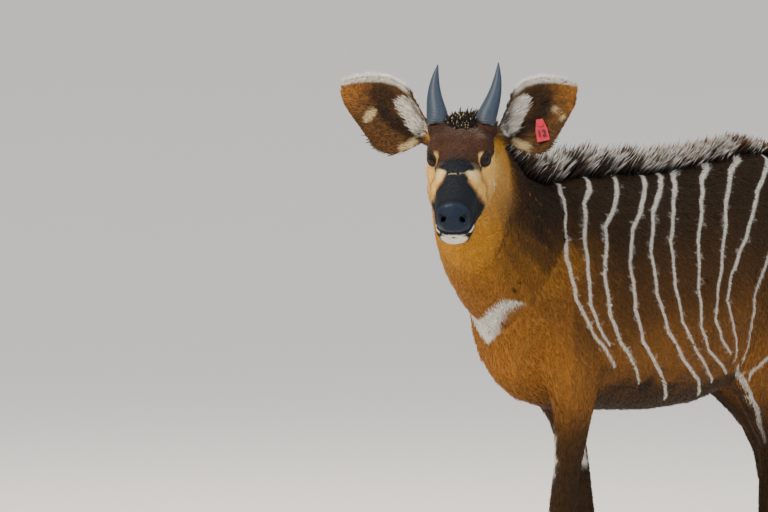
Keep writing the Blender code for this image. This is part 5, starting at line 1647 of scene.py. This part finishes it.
# %% Hooves
hoof_material, tree, shader = new_material("hoof keratin")
place = add(tree, "ShaderNodeTexCoord")
layers = {"Vector": place.outputs["Object"], "Scale": 95.0, "Distortion": 1.5, "Detail": 2.0}
layers = add(tree, "ShaderNodeTexWave", layers, bands_direction="Z").outputs["Fac"]
brown = {"Factor": layers, "A": linear("#17130F"), "B": linear("#3B322A")}
brown = add(tree, "ShaderNodeMix", brown, data_type="RGBA")
bump = add(tree, "ShaderNodeBump", {"Strength": 0.4, "Distance": 0.0005, "Height": layers})
plug(tree, shader, {"Base Color": brown, "Normal": bump, "Roughness": 0.38})
for name in sorted(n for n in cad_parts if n.startswith("hoof")):
    data = subdivided(name, 2)
    points = vertex_array(data)
    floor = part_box(name)[0].z
    points[:, 2] = np.where(points[:, 2] < floor + 0.0035, floor, points[:, 2])
    data.vertices.foreach_set("co", points.ravel())
    shade_smooth(data)
    hoof = new_object("shell_" + name, data, hoof_material)
    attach(hoof, "root")
    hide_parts(name)
print("hooves done")

# %% [markdown]
# The ear tag is moulded polyurethane: a soft, slightly glossy red, a little uneven. Its face
# carries plain numbers, raised by a fraction of a millimetre.

# %% The tag
# Height, half depth and swelling of the digits.
DIGIT_SIZES = (0.019, 0.0002, 0.0003)
DIGITS_PROUD, DIGITS_DOWN = 0.0001, 0.018
tag_material, tree, shader = new_material("moulded polyurethane")
place = add(tree, "ShaderNodeTexCoord")
wear = {"Vector": place.outputs["Object"], "Scale": 300.0, "Detail": 3.0}
wear = add(tree, "ShaderNodeTexNoise", wear).outputs["Fac"]
red = {"Factor": wear, "A": linear("#9E0E24"), "B": linear("#BC2440")}
red = add(tree, "ShaderNodeMix", red, data_type="RGBA")
plug(tree, shader, {"Base Color": red, "Roughness": 0.36})
ink_material, tree, shader = new_material("black marking ink")
plug(tree, shader, {"Base Color": linear("#22090D"), "Roughness": 0.5})
for name in ("tag_panel", "tag_stud"):
    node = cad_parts[name]
    for k in range(len(node.data.materials)):
        node.data.materials[k] = tag_material
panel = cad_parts["tag_panel"]
panel_points = vertex_array(panel.data)
panel_middle = panel_points.mean(axis=0)
panel_axes = np.linalg.svd(panel_points - panel_middle, full_matrices=False)[2]
broadest = np.array(max(panel.data.polygons, key=lambda face: face.area).normal)
face_way = broadest * np.sign(broadest @ [-1.0, -1.0, 0.1])
up_way = unit(panel_axes[0] - face_way * (face_way @ panel_axes[0]))
up_way *= np.sign(up_way[2])
across_way = np.cross(up_way, face_way)
writing = bpy.data.curves.new("tag digits", "FONT")
writing.body, writing.size, writing.extrude, writing.offset = "12", *DIGIT_SIZES
writing.align_x, writing.align_y = "CENTER", "CENTER"
digits = new_object("tag_digits", writing)
digit_mesh = evaluated_mesh(digits)
bpy.data.objects.remove(digits)
letter = vertex_array(digit_mesh)
surface = (panel_points - panel_middle) @ face_way
raised = panel_middle + face_way * (surface.max() + DIGITS_PROUD) - up_way * DIGITS_DOWN
digit_points = raised + letter @ np.array([across_way, up_way, face_way])
digit_mesh.vertices.foreach_set("co", digit_points.ravel())
digit_mesh.update()
digit_mesh.materials.clear()
digits = new_object("tag_digits", digit_mesh, ink_material)
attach(digits, "root")
print("tag done")

# %% [markdown]
# A plain pale floor curves up far away into a wall all round, so that no horizon shows from any
# side. One large soft lamp from in front of the animal gives the form, a second lifts the shadows,
# and a third from behind rims the coat. The camera stands where the photographer stood: far off
# with a long lens, and a little above the animal's back.

# %% Floor, light and camera
FLOOR_FLAT, FLOOR_REACH, FLOOR_CURVE, FLOOR_WALL, FLOOR_SINK = 32.0, 34.0, 16.0, 26.0, 0.0005
FLOOR_STEPS, CURVE_STEPS = 96, 14
floor_material, tree, shader = new_material("pale studio floor")
plug(tree, shader, {"Base Color": linear("#EBE9E4"), "Roughness": 0.85, "Specular IOR Level": 0.1})
profile = [(FLOOR_FLAT, 0.0), (FLOOR_REACH, 0.0)]
for k in range(1, CURVE_STEPS + 1):
    bend = math.pi / 2 * k / CURVE_STEPS
    profile.append((FLOOR_REACH + FLOOR_CURVE * math.sin(bend), FLOOR_CURVE * (1 - math.cos(bend))))
profile.append((FLOOR_REACH + FLOOR_CURVE, FLOOR_WALL))
rim_turns = [2 * math.pi * k / FLOOR_STEPS for k in range(FLOOR_STEPS)]
floor_points = [
    (reach * math.cos(turn), reach * math.sin(turn), high - FLOOR_SINK)
    for reach, high in profile
    for turn in rim_turns
]
floor_faces = [tuple(range(FLOOR_STEPS))]
for row in range(len(profile) - 1):
    for k in range(FLOOR_STEPS):
        here, beside = row * FLOOR_STEPS + k, row * FLOOR_STEPS + (k + 1) % FLOOR_STEPS
        floor_faces.append((here, beside, beside + FLOOR_STEPS, here + FLOOR_STEPS))
floor_mesh = from_arrays("floor", floor_points, floor_faces)
floor_mesh.polygons.foreach_set("use_smooth", [False] + [True] * (len(floor_faces) - 1))
new_object("studio_floor", floor_mesh, floor_material)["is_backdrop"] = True

world = bpy.data.worlds.new("soft studio")
bpy.context.scene.world = world
world.use_nodes = True
sky = world.node_tree.nodes["Background"]
plug(world.node_tree, sky, {"Color": linear("#EDEEF0"), "Strength": 1.15})
CAMERA_TURN, CAMERA_RISE, CAMERA_FAR, CAMERA_LENS = math.radians(-46), math.radians(4), 12.0, 275.6
AIM = Vector((-0.225, 0.233, 0.836)) + Vector(SHIFT)
LAMPS_AIM = Vector((0, 0, 0.75))


def towards(turn, rise):
    return Vector(
        (math.sin(turn) * math.cos(rise), -math.cos(turn) * math.cos(rise), math.sin(rise))
    )


def lamp(name, turn, rise, distance, size, power, colour="#FFFFFF"):
    light = bpy.data.lights.new(name, "AREA")
    light.shape, light.size, light.energy = "DISK", size, power
    light.color = linear(colour)[:3]
    made = bpy.data.objects.new(name, light)
    bpy.context.scene.collection.objects.link(made)
    way = towards(math.radians(turn), math.radians(rise))
    made.location = LAMPS_AIM + way * distance
    made.rotation_euler = (-way).to_track_quat("-Z", "Y").to_euler()


lamp("key", -84, 40, 4.0, 1.5, 185, "#FFF1DC")
lamp("fill", 0, 30, 4.5, 2.5, 50, "#F2F4FF")
lamp("rim", 150, 48, 4.0, 1.6, 120, "#FFF0DC")

lens = bpy.data.cameras.new("camera")
lens.lens, lens.sensor_width, lens.clip_end = CAMERA_LENS, 36.0, 100.0
camera = bpy.data.objects.new("camera", lens)
bpy.context.scene.collection.objects.link(camera)
back = towards(CAMERA_TURN, CAMERA_RISE)
camera.location = AIM + back * CAMERA_FAR
camera.rotation_euler = (-back).to_track_quat("-Z", "Y").to_euler()
bpy.context.scene.camera = camera

# %% [markdown]
# Last, the bounds of the dressed animal are measured and printed.

# %% Sizes
low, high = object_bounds()
print("dressed", [round(v, 4) for v in (*low, *high)])
